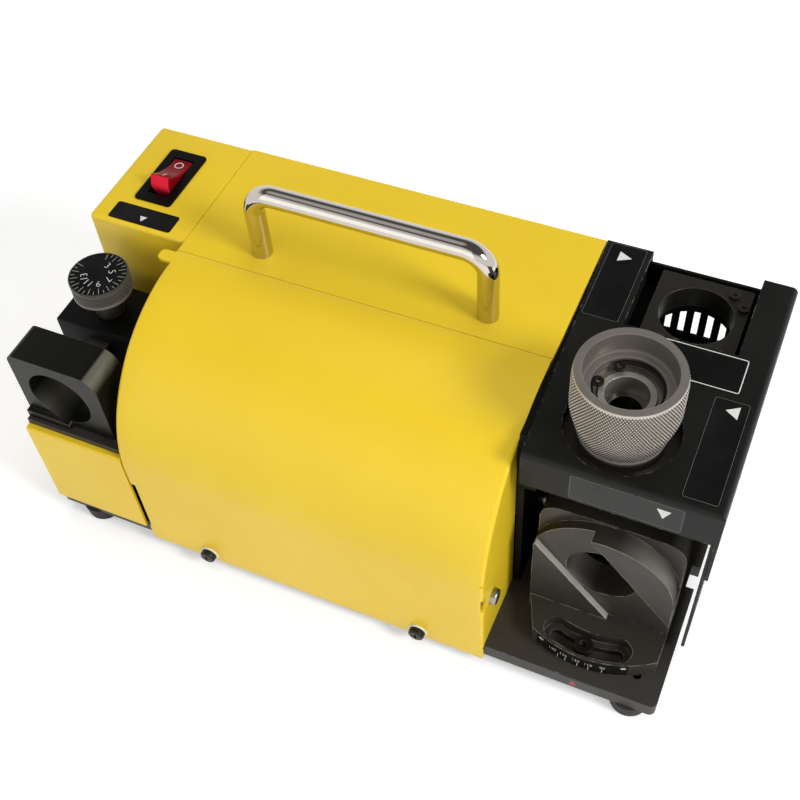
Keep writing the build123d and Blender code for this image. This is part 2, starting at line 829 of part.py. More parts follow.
def station_deck():
    y0 = front + deck_front
    box = slab(bulkhead_left, right, y0, back, under_top - deck_flange, top_height)
    top_edges = box.edges().group_by(Axis.Z)[-1].filter_by(lambda e: e.center().Y < back - sheet)
    bends = top_edges.filter_by(lambda e: e.center().X > deck_left)
    box = fillet(bends, deck_bend)
    inner = slab(deck_left + sheet, right - sheet, y0 + sheet, back + cut_margin, 0, under_top)
    skirt_low = under_top - deck_skirt
    skirt_cut = slab(bulkhead_left - cut_margin, right - sheet, y0 - cut_margin, back, 0, skirt_low)
    edge_cut = slab(bulkhead_left - cut_margin, deck_left, y0 + sheet, back + cut_margin, 0, under_top)
    left_low = under_top - deck_left_skirt
    left_cut = slab(deck_left - cut_margin, deck_left + sheet, y0 + sheet, back + cut_margin, 0, left_low)
    notch_left = deck_left + deck_notch_left
    notch_front = back - deck_notch_depth
    notch_right = notch_left + deck_notch_width
    low = under_top - sheet
    high = top_height + sheet
    notch = slab(notch_left, notch_right, notch_front, back + cut_margin, low, high)
    hole = rod_z(low, high, split_x, split_y, deck_hole_radius)
    deck = cut(box, [inner, skirt_cut, edge_cut, left_cut, notch, hole])
    lip_back = back - deck_lip_from_back
    deck = deck + slab(notch_left - sheet, notch_left, notch_front, lip_back, under_top - deck_lip_depth, under_top)
    return cut(deck, [screw_hole(at, to_left, sheet) for at in panel_screw_at])


def side_panel():
    y0 = front + deck_front + sheet + seam_gap
    y1 = back - sheet
    high = under_top - side_panel_drop
    panel = slab(side_panel_x - sheet, side_panel_x, y0, y1, high - side_panel_height, high)
    corner = panel.edges().filter_by(Axis.X).sort_by(lambda e: e.center().Y + e.center().Z)[:1]
    panel = fillet(corner, side_panel_corner)
    return cut(panel, [screw_hole(at, to_left, 2 * sheet) for at in panel_screw_at])


def side_panel_screws():
    screws = []
    for x, y, z in panel_screw_at:
        screws.append(rod_x(right - 2 * sheet, right, y, z, screw_radius))
    return group(screws)


def back_wall():
    x0 = deck_left + sheet
    x1 = side_panel_x - sheet - seam_gap
    y0 = back - sheet
    high = top_height - back_wall_drop
    wall = slab(x0, x1, y0, back, base_top, high)
    notch_left = deck_left + deck_notch_left
    notch_right = notch_left + deck_notch_width
    ears = [slab(x0, notch_left, y0, back, high, under_top), slab(notch_right, x1, y0, back, high, under_top)]
    flange = slab(x0, base_right, y0 - flange_width, y0, base_top, flange_z)
    wall = wall + ears[0] + ears[1] + flange
    vents = []
    for index in range(vent_count):
        x = relief_x - vent_shift + (index - (vent_count - 1) / 2) * vent_pitch - vent_width / 2
        vents.append(slab(x, x + vent_width, y0 - sheet, back + sheet, vent_low, vent_low + vent_length))
    return cut(wall, vents + [screw_hole(at, down, sheet) for at in back_wall_flange_at])


def seat_bridge():
    x1 = side_panel_x - sheet - bridge_right_gap
    y1 = back - 2 * sheet
    plate = slab(bulkhead_right, x1, front + bridge_front, y1, bridge_low, bridge_top)
    leg_low = bridge_low - bridge_leg_height
    leg = slab(bulkhead_right, bridge_leg_right, front + bulkhead_front, y1, leg_low, bridge_low)
    radius = chuck_fit_radius + bridge_hole_gap
    holes = [rod_z(0, top_height, x, y, radius) for x, y in ((split_x, split_y), (relief_x, relief_y))]
    holes = holes + [screw_hole(at, to_left, screw_length) for at in bridge_leg_at]
    holes = holes + [screw_hole(at, down, seat_screw_length) for at in split_screw_at]
    holes = holes + [screw_hole(at, down, seat_screw_length, cap_shank_radius) for at in relief_screw_at]
    return cut(plate + leg, holes)


def standoff_points():
    x0 = deck_left + standoff_inset
    x1 = side_panel_x - sheet - standoff_inset
    y0 = front + bridge_front + standoff_inset
    y1 = back - standoff_inset
    y2 = relief_seat_front - standoff_inset / 2
    return [(x0, axis_y), (x0, y1), (x1, y0), (x1, y2)]


def deck_standoffs():
    return group([rod_z(bridge_top, under_top, x, y, standoff_radius) for x, y in standoff_points()])


def split_seat():
    half = split_seat_size / 2
    block = slab(split_x - half, split_x + half, split_y - half, split_y + half, bridge_top, seat_top)
    block = fillet(block.edges().filter_by(Axis.Z), seat_round)
    bore = rod_z(0, top_height, split_x, split_y, chuck_fit_radius)
    return cut(block - bore, [screw_hole(at, down, seat_thickness) for at in split_screw_at])


def relief_seat():
    x1 = relief_seat_left + relief_seat_width
    block = slab(relief_seat_left, x1, relief_seat_front, relief_seat_back, bridge_top, seat_top)
    block = fillet(block.edges().filter_by(Axis.Z), relief_seat_round)
    bore = rod_z(0, top_height, relief_x, relief_y, chuck_fit_radius)
    return cut(block - bore, [screw_hole(at, down, seat_thickness, cap_shank_radius) for at in relief_screw_at])


def seat_screws():
    screws = [screw(at, down, seat_screw_length) for at in split_screw_at]
    for x, y, z in relief_screw_at:
        cap = rod_z(z, z + cap_head_height, x, y, cap_head_radius)
        socket = extrude(RegularPolygon(cap_socket / 2, 6), cap_head_height)
        shank = rod_z(z - seat_screw_length, z, x, y, cap_shank_radius)
        screws.append(cap + shank - Pos(x, y, z + cap_head_height / 2) * socket)
    return group(screws)


def machine_screws():
    screws = [screw(at, down, screw_length) for at in base_screw_at]
    screws = screws + [screw(at, to_left, screw_length) for at in bridge_leg_at + bell_screw_at]
    return group(screws + [screw(at, up, screw_length) for at in setting_screw_at])


def motor_bulkhead():
    y0 = front + bulkhead_front
    y1 = back - 2 * sheet
    plate = slab(bulkhead_left, bulkhead_right, y0, y1, base_top, under_top)
    foot_back = back - sheet - flange_width - seam_gap
    foot = slab(bulkhead_left - bulkhead_flange, bulkhead_left, y0, foot_back, base_top, bulkhead_foot_z)
    shaft = rod_x(bulkhead_left - cut_margin, bulkhead_right + cut_margin, axis_y, axis_z, bearing_lip_radius)
    holes = [screw_hole(at, to_left, screw_length) for at in bridge_leg_at + bell_screw_at]
    holes = holes + [screw_hole(at, down, bulkhead_thickness) for at in bulkhead_foot_at]
    return cut(plate + foot - shaft, holes)


def motor_can():
    inner = motor_radius - motor_wall
    tube = rod_x(can_left, can_right, axis_y, axis_z, motor_radius)
    return tube - rod_x(can_left - cut_margin, can_right + cut_margin, axis_y, axis_z, inner)


def motor_bell(outer_face, can_face):
    """An end bell: a disc with a bearing pocket, and a rim that meets the can."""
    inward = 1 if can_face > outer_face else -1
    wall = outer_face + inward * bell_wall
    pocket = wall - inward * bearing_width
    inner = motor_radius - motor_wall
    bell = rod_x(min(outer_face, can_face), max(outer_face, can_face), axis_y, axis_z, motor_radius)
    cup = rod_x(min(wall, can_face), max(wall, can_face), axis_y, axis_z, inner)
    seat = rod_x(min(pocket, wall), max(pocket, wall), axis_y, axis_z, bearing_radius + thread_gap)
    lip = rod_x(min(outer_face, pocket), max(outer_face, pocket), axis_y, axis_z, bearing_lip_radius)
    return bell - cup - seat - lip


def motor_front_bell():
    bell = motor_bell(bulkhead_left, can_right)
    return cut(bell, [screw_hole(at, to_left, screw_length) for at in bell_screw_at])


def motor_rear_bell():
    return motor_bell(rear_bell_left, can_left)


def motor_bearings():
    bearings = []
    for low in (bulkhead_left - bell_wall, rear_bell_left + bell_wall - bearing_width):
        ring = rod_x(low, low + bearing_width, axis_y, axis_z, bearing_radius)
        bearings.append(ring - rod_x(low, low + bearing_width, axis_y, axis_z, shaft_radius + running_gap))
    return group(bearings)


armature_right = can_right - armature_from_bell
armature_left = can_left + commutator_room
commutator_right = armature_left - commutator_gap
commutator_left = commutator_right - commutator_length
brush_x = (commutator_left + commutator_right) / 2


def motor_magnets():
    outer = motor_radius - motor_wall - thread_gap
    ring = rod_x(armature_left, armature_right, axis_y, axis_z, outer)
    ring = ring - rod_x(armature_left, armature_right, axis_y, axis_z, armature_radius + air_gap)
    side = 2 * motor_radius
    wedge = [(0, 0)]
    for turn in (-magnet_half_angle, 0, magnet_half_angle):
        wedge.append((side * math.cos(math.radians(turn)), side * math.sin(math.radians(turn))))
    magnets = []
    for turn in (90, 270):
        face = Pos(axis_y, axis_z) * Rot(0, 0, turn) * make_face(Polyline(*wedge, close=True))
        magnets.append(ring & along_x(face, armature_left, armature_right))
    return group(magnets)


def brush_blocks(size, start, end):
    """A square bar on each side of the commutator, along Y."""
    bars = []
    for side in (-1, 1):
        near = axis_y + side * start
        far = axis_y + side * end
        x0 = brush_x - size / 2
        z0 = axis_z - size / 2
        bars.append(slab(x0, x0 + size, min(near, far), max(near, far), z0, z0 + size))
    return bars


def brush_holders():
    outer = brush_size + 2 * brush_wall
    far = math.sqrt((motor_radius - motor_wall) ** 2 - (outer / 2) ** 2) - thread_gap
    near = commutator_radius + 2 * brush_wall
    holders = brush_blocks(outer, near, far)
    bores = brush_blocks(brush_size + 2 * thread_gap, near - cut_margin, far - brush_wall)
    return group([holder - bore for holder, bore in zip(holders, bores)])


def carbon_brushes():
    near = commutator_radius + turning_gap
    return group(brush_blocks(brush_size, near, near + brush_length))


def rectifier():
    y0 = front + rectifier_from_front
    x0 = housing_left + flange_width
    body = slab(x0, x0 + rectifier_length, y0, y0 + rectifier_length, base_top, base_top + rectifier_height)
    return chamfer(body.edges().filter_by(Axis.Z)[:1], 2 * sheet)


def cable_gland():
    x = left + gland_from_left
    z = base_top + gland_above_base
    face = Rot(0, 0, 30) * RegularPolygon(gland_hex_width / 2, 6, major_radius=False)
    hexagon_bar = Plane((x, back, z), z_dir=to_back) * extrude(face, gland_reach)
    nut_face = back - sheet
    nut = Plane((x, nut_face - gland_nut_height, z), z_dir=to_back) * extrude(face, gland_nut_height)
    barrel = rod_y(nut_face - gland_nut_height, back, x, z, gland_radius)
    bore = rod_y(front, back + 2 * gland_reach, x, z, gland_bore)
    return hexagon_bar + nut + barrel - bore


hub_left = bulkhead_right + hub_gap
wheel_seat = wheel_left - wheel_flange_width
nut_right = wheel_right + wheel_nut_height
fan_right = rear_bell_left - fan_gap
fan_left = fan_right - fan_width


def rotor_shaft():
    return rod_x(rear_bell_left - shaft_tail, nut_right + shaft_past_nut, axis_y, axis_z, shaft_radius)


def on_shaft(shape):
    """A turned piece bored to sit on the motor shaft."""
    return shape - rod_x(left, right, axis_y, axis_z, shaft_radius + thread_gap)


def armature():
    core = on_shaft(rod_x(armature_left, armature_right, axis_y, axis_z, armature_radius))
    low = armature_radius - armature_slot_depth
    half = armature_slot_width / 2
    slots = []
    for index in range(armature_slots):
        turn = index * 360 / armature_slots
        slot = slab(armature_left - 1, armature_right + 1, -half, half, low, armature_radius + cut_margin)
        slots.append(Pos(0, axis_y, axis_z) * Rot(turn, 0, 0) * slot)
    return cut(core, slots)


def commutator():
    return on_shaft(rod_x(commutator_left, commutator_right, axis_y, axis_z, commutator_radius))


def cooling_fan():
    hub = rod_x(fan_left, fan_right, axis_y, axis_z, fan_hub_radius)
    disc = rod_x(fan_right - fan_disc, fan_right, axis_y, axis_z, fan_radius)
    fan = hub + disc
    half = fan_blade_thickness / 2
    for index in range(fan_blades):
        blade = slab(fan_left, fan_right, -half, half, fan_hub_radius / 2, fan_radius - sheet)
        fan = fan + Pos(0, axis_y, axis_z) * Rot(index * 360 / fan_blades, 0, 0) * blade
    return on_shaft(fan)


def wheel_flange():
    hub = rod_x(hub_left, wheel_seat, axis_y, axis_z, hub_radius)
    flange = rod_x(wheel_seat, wheel_left, axis_y, axis_z, wheel_flange_radius)
    return on_shaft(hub + flange)


def wheel_frustum(depth):
    """The bevelled wheel less a depth of rim."""
    fall = wheel_width * math.tan(math.radians(wheel_bevel))
    big = wheel_radius - depth
    return Pos(wheel_x, axis_y, axis_z) * Rot(0, 90, 0) * Cone(big, big - fall, wheel_width)


def wheel_body():
    return on_shaft(wheel_frustum(abrasive_depth))


def abrasive_rim():
    return wheel_frustum(0) - wheel_frustum(abrasive_depth)


def wheel_nut():
    return on_shaft(hexagon(wheel_right, nut_right, axis_y, axis_z, wheel_nut_width))


def swivel_seat():
    face_y = pivot_y - seat_face_from_pivot
    plate_y = pivot_y - seat_plate_from_pivot
    rear_y = pivot_y - seat_rear_from_pivot
    plate_top = chuck_bottom - seat_chuck_gap
    low = base_top + rest_gap
    x0 = station_x - seat_half_width
    x1 = station_x + seat_half_width
    plate = slab(x0, x1, plate_y, rear_y, low, plate_top)
    plate = fillet(plate.edges().filter_by(Axis.Y).group_by(Axis.Z)[-1], seat_plate_corner)
    boss_y = face_y - high_cam_rise
    arch = rod_y(boss_y, plate_y, wheel_x, axis_z, seat_arch_radius)
    boss = slab(x0, x1, boss_y, plate_y, low, axis_z) + arch
    boss = boss & slab(x0, x1, boss_y, plate_y, low, plate_top)
    tilt = Pos(wheel_x, face_y, axis_z) * Rot(0, -groove_tilt, 0)
    wide = 2 * seat_arch_radius
    groove = tilt * slab(-wide, groove_half_width, -wide, 0, -wide, wide)
    low_side = tilt * slab(-wide, -groove_half_width, -wide, -low_cam_rise, -wide, wide)
    low_keep = tilt * slab(-wide, -groove_half_width, -low_cam_rise, 0, -wide, wide)
    boss = (boss - groove - low_side) + (boss & low_keep)
    foot_high = low + seat_foot_thickness
    foot = rod_z(low, foot_high, station_x, pivot_y, seat_foot_radius)
    foot_right = station_x + seat_foot_half_width
    cut_y = pivot_y - seat_foot_cut_from_pivot
    plan = [(x0, plate_y), (x0, cut_y), (station_x - seat_foot_left_half, front), (foot_right, front), (foot_right, plate_y)]
    foot = foot & (Pos(0, 0, low) * extrude(make_face(Polyline(*plan, close=True)), seat_foot_thickness))
    ear_high = low + pivot_ear_thickness
    ear = slab(station_x - pivot_ear_radius, station_x + pivot_ear_radius, plate_y, pivot_y, low, ear_high)
    ear = ear + rod_z(low, ear_high, station_x, pivot_y, pivot_ear_radius)
    pin = rod_z(0, top_height, station_x, pivot_y, pivot_pin_radius + running_gap)
    bore = rod_y(front, rear_y + cut_margin, wheel_x, axis_z, chuck_fit_radius)
    floor = base_top + slot_floor - rest_gap
    head_slot = seat_slot(slot_head_width, floor, foot_high + cut_margin)
    shank_slot = seat_slot(slot_shank_width, 0, foot_high)
    return (plate + boss + foot + ear) - pin - bore - head_slot - shank_slot


def seat_slot(width, z0, z1):
    """A slot that runs round the seat's pivot, with round ends."""
    ring = rod_z(z0, z1, station_x, pivot_y, slot_radius + width / 2)
    ring = ring - rod_z(z0, z1, station_x, pivot_y, slot_radius - width / 2)
    reach = slot_radius + width
    wedge = [(0, 0)]
    ends = []
    for turn in (-slot_half_sweep, 0, slot_half_sweep):
        angle = math.radians(turn - 90)
        wedge.append((2 * reach * math.cos(angle), 2 * reach * math.sin(angle)))
    for turn in (-slot_half_sweep, slot_half_sweep):
        angle = math.radians(turn - 90)
        x = station_x + slot_radius * math.cos(angle)
        ends.append(rod_z(z0, z1, x, pivot_y + slot_radius * math.sin(angle), width / 2))
    sector = Pos(station_x, pivot_y, z0) * extrude(make_face(Polyline(*wedge, close=True)), z1 - z0)
    return (ring & sector) + ends[0] + ends[1]


def pivot_pin():
    ear_high = base_top + 2 * rest_gap + pivot_ear_thickness
    shank = rod_z(foot_height, ear_high, station_x, pivot_y, pivot_pin_radius)
    return shank + rod_z(ear_high, ear_high + pivot_head_height, station_x, pivot_y, pivot_head_radius)


def clamp_screw():
    x, y, z = clamp_at
    shank = rod_z(foot_height, z, x, y, clamp_shank_radius)
    head = rod_z(z, z + clamp_head_height, x, y, clamp_head_radius)
    socket = extrude(RegularPolygon(clamp_socket / 2, 6), clamp_socket)
    return shank + head - Pos(x, y, z + clamp_head_height - clamp_socket / 2) * socket


def on_chuck(z0, z1, radius):
    """A turned length on the chuck's axis."""
    return rod_z(z0, z1, split_x, split_y, radius)


def chuck_body():
    nose = on_chuck(chuck_bottom, chuck_seat, chuck_nose_radius)
    nose = chamfer(nose.edges().sort_by(Axis.Z)[:1], sleeve_edge)
    flange = on_chuck(chuck_seat, chuck_shoulder, chuck_flange_radius)
    tube = on_chuck(chuck_shoulder, web_low - turning_gap, chuck_tube_radius)
    taper = Pos(split_x, split_y, (chuck_bottom + throat_z) / 2) * Cone(
        collet_mouth_radius + taper_gap, collet_throat_radius + taper_gap, collet_taper_length
    )
    throat = on_chuck(throat_z - cut_margin, draw_tube_low, collet_throat_radius + taper_gap)
    bore = on_chuck(draw_tube_low - collet_travel - cut_margin, web_low, chuck_bore)
    return (nose + flange + tube) - taper - throat - bore


def chuck_sleeve():
    taper_top = sleeve_bottom + sleeve_taper_height
    grip = on_chuck(taper_top, sleeve_top - sleeve_rim_height, sleeve_radius)
    taper = Pos(split_x, split_y, (sleeve_bottom + taper_top) / 2) * Cone(
        sleeve_foot_radius, sleeve_radius, sleeve_taper_height
    )
    rim = Pos(split_x, split_y, sleeve_top - sleeve_rim_height / 2) * Cone(
        sleeve_radius, sleeve_radius - sleeve_rim_width, sleeve_rim_height
    )
    sleeve = taper + grip + rim
    mouth = on_chuck(sleeve_top - sleeve_mouth_depth, sleeve_top + cut_margin, sleeve_mouth_radius)
    step = on_chuck(cup_floor, sleeve_top, sleeve_step_radius)
    web = on_chuck(sleeve_bottom, sleeve_top, chuck_bore)
    lower = on_chuck(sleeve_bottom - cut_margin, web_low, chuck_tube_radius + turning_gap)
    groove_z = cup_floor + circlip_lift
    groove = on_chuck(groove_z, groove_z + circlip_thickness + rest_gap, sleeve_step_radius + circlip_groove)
    return cut(sleeve, [mouth, step, web, lower, groove])


def chuck_circlip():
    z0 = cup_floor + circlip_lift
    z1 = z0 + circlip_thickness
    outer = sleeve_step_radius + circlip_groove - thread_gap
    ring = on_chuck(z0, z1, outer) - on_chuck(z0, z1, outer - circlip_width)
    wedge = [(0, 0)]
    ears = []
    middle = (circlip_gap_start + circlip_gap_end) / 2
    for turn in (circlip_gap_start, middle, circlip_gap_end):
        angle = math.radians(turn)
        wedge.append((2 * outer * math.cos(angle), 2 * outer * math.sin(angle)))
    gap = Pos(split_x, split_y, z0) * extrude(make_face(Polyline(*wedge, close=True)), circlip_thickness)
    ring = ring - gap
    ear_arm = outer - circlip_width - circlip_ear_radius / 2
    for turn in (circlip_gap_start, circlip_gap_end):
        angle = math.radians(turn)
        x = split_x + ear_arm * math.cos(angle)
        y = split_y + ear_arm * math.sin(angle)
        ring = ring + rod_z(z0, z1, x, y, circlip_ear_radius)
        ears.append(rod_z(z0, z1, x, y, circlip_ear_hole))
    return cut(ring, ears)


def draw_tube():
    bore = on_chuck(draw_tube_low, draw_tube_top, draw_tube_bore)
    return on_chuck(draw_tube_low, draw_tube_top, draw_tube_radius) - bore


def collet():
    taper = Pos(split_x, split_y, (chuck_bottom + throat_z) / 2) * Cone(
        collet_mouth_radius, collet_throat_radius, collet_taper_length
    )
    stem = on_chuck(throat_z, draw_tube_low + thread_engagement, draw_tube_bore - thread_gap)
    bore = on_chuck(chuck_bottom - cut_margin, sleeve_top, collet_bore_radius)
    body = taper + stem - bore
    half = collet_slit_width / 2
    slits = []
    for index in range(collet_slits):
        slit = slab(0, sleeve_radius, -half, half, 0, collet_slit_length)
        turn = Rot(0, 0, index * 360 / collet_slits)
        slits.append(Pos(split_x, split_y, chuck_bottom) * turn * slit)
    return cut(body, slits)


pieces = [
    base_plate, rubber_feet, foot_screws, main_housing, front_cover, cover_screws, cover_washers,
    cover_bracket, cover_side_screw, switch_box, setting_pedestal, carry_handle, handle_screws,
    switch_bezel, switch_terminals, rocker, setting_base, setting_block, dial_bracket, dial_knob,
    dial_stem, stop_slide, station_deck, side_panel, side_panel_screws, back_wall, seat_bridge,
    deck_standoffs, split_seat, relief_seat, seat_screws, machine_screws, motor_bulkhead, motor_can,
    motor_front_bell, motor_rear_bell, motor_bearings, motor_magnets, brush_holders, carbon_brushes,
    rectifier, cable_gland, rotor_shaft, armature, commutator, cooling_fan, wheel_flange,
    wheel_body, abrasive_rim, wheel_nut, swivel_seat, pivot_pin, clamp_screw, chuck_body,
    chuck_sleeve, chuck_circlip, draw_tube, collet,
]

os.makedirs("parts", exist_ok=True)
for piece in pieces:
    export_step(piece(), os.path.join("parts", piece.__name__ + ".step"))
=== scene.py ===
# %% [markdown]
# # A drill bit grinder, dressed around its CAD model
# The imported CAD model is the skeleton: every plate, bore and joint is already in its place, in metres.
# This lesson gives it its surface. Some nodes only need a finish; others are replaced by finer pieces,
# worked out with numpy, that ride on the same bodies.

# %% Load the frame
import json
import math

import bmesh
import bpy
import numpy as np
from mathutils import Matrix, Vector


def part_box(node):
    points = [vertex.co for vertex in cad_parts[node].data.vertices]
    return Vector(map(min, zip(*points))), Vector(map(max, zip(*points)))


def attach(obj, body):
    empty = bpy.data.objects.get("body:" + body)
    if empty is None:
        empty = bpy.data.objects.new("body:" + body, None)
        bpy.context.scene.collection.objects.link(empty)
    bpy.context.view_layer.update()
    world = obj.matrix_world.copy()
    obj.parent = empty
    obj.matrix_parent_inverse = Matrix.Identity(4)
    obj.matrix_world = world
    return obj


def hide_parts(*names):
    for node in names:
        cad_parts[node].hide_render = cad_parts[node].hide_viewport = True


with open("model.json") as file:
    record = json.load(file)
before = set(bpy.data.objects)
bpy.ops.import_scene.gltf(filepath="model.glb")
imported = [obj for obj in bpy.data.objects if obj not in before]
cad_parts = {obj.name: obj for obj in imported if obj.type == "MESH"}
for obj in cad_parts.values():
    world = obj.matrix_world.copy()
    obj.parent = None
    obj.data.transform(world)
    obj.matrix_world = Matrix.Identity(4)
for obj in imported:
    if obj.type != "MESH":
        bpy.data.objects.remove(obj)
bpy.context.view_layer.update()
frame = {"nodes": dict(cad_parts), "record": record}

MM = 0.001
nodes = frame["nodes"]


# %% [markdown]
# ## Where things are
# All sizes below are in millimetres, as on a drawing, and are turned into metres only when a mesh is made.
# Places are read from the CAD nodes, so a piece always sits where its neighbours are.

# %% Places read from the CAD nodes
def box_mm(node):
    """Lowest and highest corner of a CAD node, in millimetres."""
    low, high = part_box(node)
    return np.array(low) / MM, np.array(high) / MM


def centre_mm(node):
    """Middle of a CAD node's box, in millimetres: half the sum of its two corners."""
    low, high = box_mm(node)
    return (low + high) / 2


cover_low, cover_high = box_mm("front_cover")
deck_low, deck_high = box_mm("station_deck")
housing_low = box_mm("main_housing")[0]
top_z = deck_high[2]
chuck_axis = centre_mm("chuck_sleeve")[:2]
dial_axis = centre_mm("dial_knob")[:2]
print("chuck axis", chuck_axis.round(2), "dial axis", dial_axis.round(2))

# %% [markdown]
# ## The camera
# The photograph was taken from the front right, about 52 degrees up, with a slight roll. A camera can be
# aimed with a Track To constraint, but that gives no roll, so the three axes of the camera are written as
# the columns of its matrix: right, up, and the way it looks from.

# %% The camera
lens_mm = 53.0
sensor_mm = 36.0
camera_at = (0.1613, -0.30475, 0.5158)
camera_right = (0.9145, 0.4008, -0.0547)
camera_up = (-0.2864, 0.7370, 0.6122)
camera_back = (0.2857, -0.5442, 0.7888)

view = bpy.data.cameras.new("photo_view")
view.lens = lens_mm
view.sensor_width = sensor_mm
view.clip_start = 0.01
camera = bpy.data.objects.new("photo_view", view)
bpy.context.scene.collection.objects.link(camera)
turn = Matrix((camera_right, camera_up, camera_back)).transposed().to_4x4()
camera.matrix_world = Matrix.Translation(camera_at) @ turn
bpy.context.scene.camera = camera
bpy.context.scene.view_settings.view_transform = "Standard"
print("camera distance", round(math.dist(camera_at, (0, 0, 0.07)), 3), "m")


# %% [markdown]
# ## Small tools for shader trees
# A material is a graph of nodes, joined from socket to socket. A few short functions keep its building
# readable: wherever one takes a value, it also takes another node's socket, and then it makes the link.

# %% Shader tools
def feed(tree, node, inputs):
    """Give a node's sockets their values: another node's socket is linked, anything else is set."""
    for socket, value in inputs.items():
        if isinstance(value, bpy.types.NodeSocket):
            tree.links.new(value, node.inputs[socket])
        else:
            node.inputs[socket].default_value = value


def add(tree, kind, inputs=None, **settings):
    """Add a node of a kind, set its properties, then feed its sockets."""
    made = tree.nodes.new(kind)
    for key, value in settings.items():
        setattr(made, key, value)
    feed(tree, made, inputs or {})
    return made


def coordinates(tree, kind="Object"):
    """A kind of texture coordinates: where a point lies, or which way its surface faces."""
    return add(tree, "ShaderNodeTexCoord").outputs[kind]


def split(tree, vector):
    """The X, Y and Z of a vector."""
    return add(tree, "ShaderNodeSeparateXYZ", {0: vector}).outputs


def math_node(tree, operation, first, second=0.0):
    """A sum, product or the like of two terms."""
    return add(tree, "ShaderNodeMath", {0: first, 1: second}, operation=operation).outputs[0]


def dot(tree, first, second):
    """The dot product of two vectors."""
    made = add(tree, "ShaderNodeVectorMath", {0: first, 1: second}, operation="DOT_PRODUCT")
    return made.outputs["Value"]


def remap(tree, value, low, high, to_low=0.0, to_high=1.0):
    """A clamped linear change of range."""
    span = {"Value": value, "From Min": low, "From Max": high, "To Min": to_low, "To Max": to_high}
    return add(tree, "ShaderNodeMapRange", span).outputs["Result"]


def mix_colour(tree, factor, first, second):
    """Blend two colours by a factor; sockets 6 and 7 of a Mix node are its two colours."""
    inputs = {"Factor": factor, 6: first, 7: second}
    return add(tree, "ShaderNodeMix", inputs, data_type="RGBA").outputs[2]


def linear(red, green, blue):
    """A colour given in 0..255 display values, as the linear numbers that a shader works with."""
    display = np.array([red, green, blue]) / 255
    low = display / 12.92
    high = ((display + 0.055) / 1.055) ** 2.4
    return (*[float(v) for v in np.where(display <= 0.04045, low, high)], 1.0)


print("shader tools ready; middle grey is", round(linear(128, 128, 128)[0], 3))

# %% [markdown]
# ## Studio
# A pale floor, soft lamps in front, overhead, to the right and low down, and a world that is bright near the
# horizon and dim above. Satin paint shows what it mirrors: the black tops face the dim sky and stay dark,
# while the fronts mirror the pale floor and lift. The background is white to the eye, in gloss and through
# glass, and a softbox in the dim sky overhead puts a silver band on the chrome.


# %% Rays that show the background
def seen_rays(tree):
    """One for a ray from the camera, off a glossy surface or through glass, and nought for the rest."""
    path = add(tree, "ShaderNodeLightPath").outputs
    seen = math_node(tree, "MAXIMUM", path["Is Camera Ray"], path["Is Glossy Ray"])
    return math_node(tree, "MAXIMUM", seen, path["Is Transmission Ray"])


# %% The floor
white = (1, 1, 1, 1)
floor_size = 40.0
corners = np.array([(-1, -1, 0), (1, -1, 0), (1, 1, 0), (-1, 1, 0)]) * floor_size / 2
floor_mesh = bpy.data.meshes.new("floor")
floor_mesh.from_pydata(corners.tolist(), [], [(0, 1, 2, 3)])
floor = bpy.data.objects.new("floor", floor_mesh)
bpy.context.scene.collection.objects.link(floor)

floor_paint = bpy.data.materials.new("floor_paint")
floor_paint.use_nodes = True
tree = floor_paint.node_tree
tree.nodes.clear()
away = add(tree, "ShaderNodeVectorMath", {0: coordinates(tree)}, operation="LENGTH").outputs["Value"]
floor_glow = math_node(tree, "MULTIPLY", seen_rays(tree), remap(tree, away, 0.7, 2.5, 0.38, 0.75))
matte = add(tree, "ShaderNodeBsdfDiffuse", {"Color": (0.86, 0.86, 0.86, 1)})
glow = add(tree, "ShaderNodeEmission", {"Color": white, "Strength": floor_glow})
both = add(tree, "ShaderNodeAddShader", {0: matte.outputs[0], 1: glow.outputs[0]})
add(tree, "ShaderNodeOutputMaterial", {"Surface": both.outputs[0]})
floor_mesh.materials.append(floor_paint)
print("floor", floor_size, "m across")

# %% The world
world = bpy.data.worlds.new("studio")
bpy.context.scene.world = world
world.use_nodes = True
tree = world.node_tree
tree.nodes.clear()
way = coordinates(tree, "Generated")
up = split(tree, way)["Z"]
sky = remap(tree, up, 0.02, 0.55, 0.9, 0.1)
backdrop = remap(tree, up, 0.42, 0.7, 1.0, 0.0)
softbox_way = (-0.33, 0.0, 0.944)
softbox = remap(tree, dot(tree, way, softbox_way), 0.925, 0.99, 0.0, 0.55)
shown = math_node(tree, "MULTIPLY", math_node(tree, "MAXIMUM", backdrop, softbox), seen_rays(tree))
light = {"Color": white, "Strength": math_node(tree, "MAXIMUM", sky, shown)}
add(tree, "ShaderNodeOutputWorld", {"Surface": add(tree, "ShaderNodeBackground", light).outputs[0]})
print("world set")


# %% The lamps
def soft_lamp(name, at, target, size, power, shows_in_gloss=True):
    """A square area lamp at a point, turned so that its -Z looks at the target."""
    light = bpy.data.lights.new(name, "AREA")
    light.shape = "SQUARE"
    light.size = size
    light.energy = power
    piece = bpy.data.objects.new(name, light)
    bpy.context.scene.collection.objects.link(piece)
    back = np.array(at) - np.array(target)
    back = back / np.linalg.norm(back)
    side = np.cross((0, 0, 1), back)
    side = side / np.linalg.norm(side)
    axes = Matrix((side, np.cross(back, side), back)).transposed().to_4x4()
    piece.matrix_world = Matrix.Translation(at) @ axes
    piece.visible_glossy = shows_in_gloss


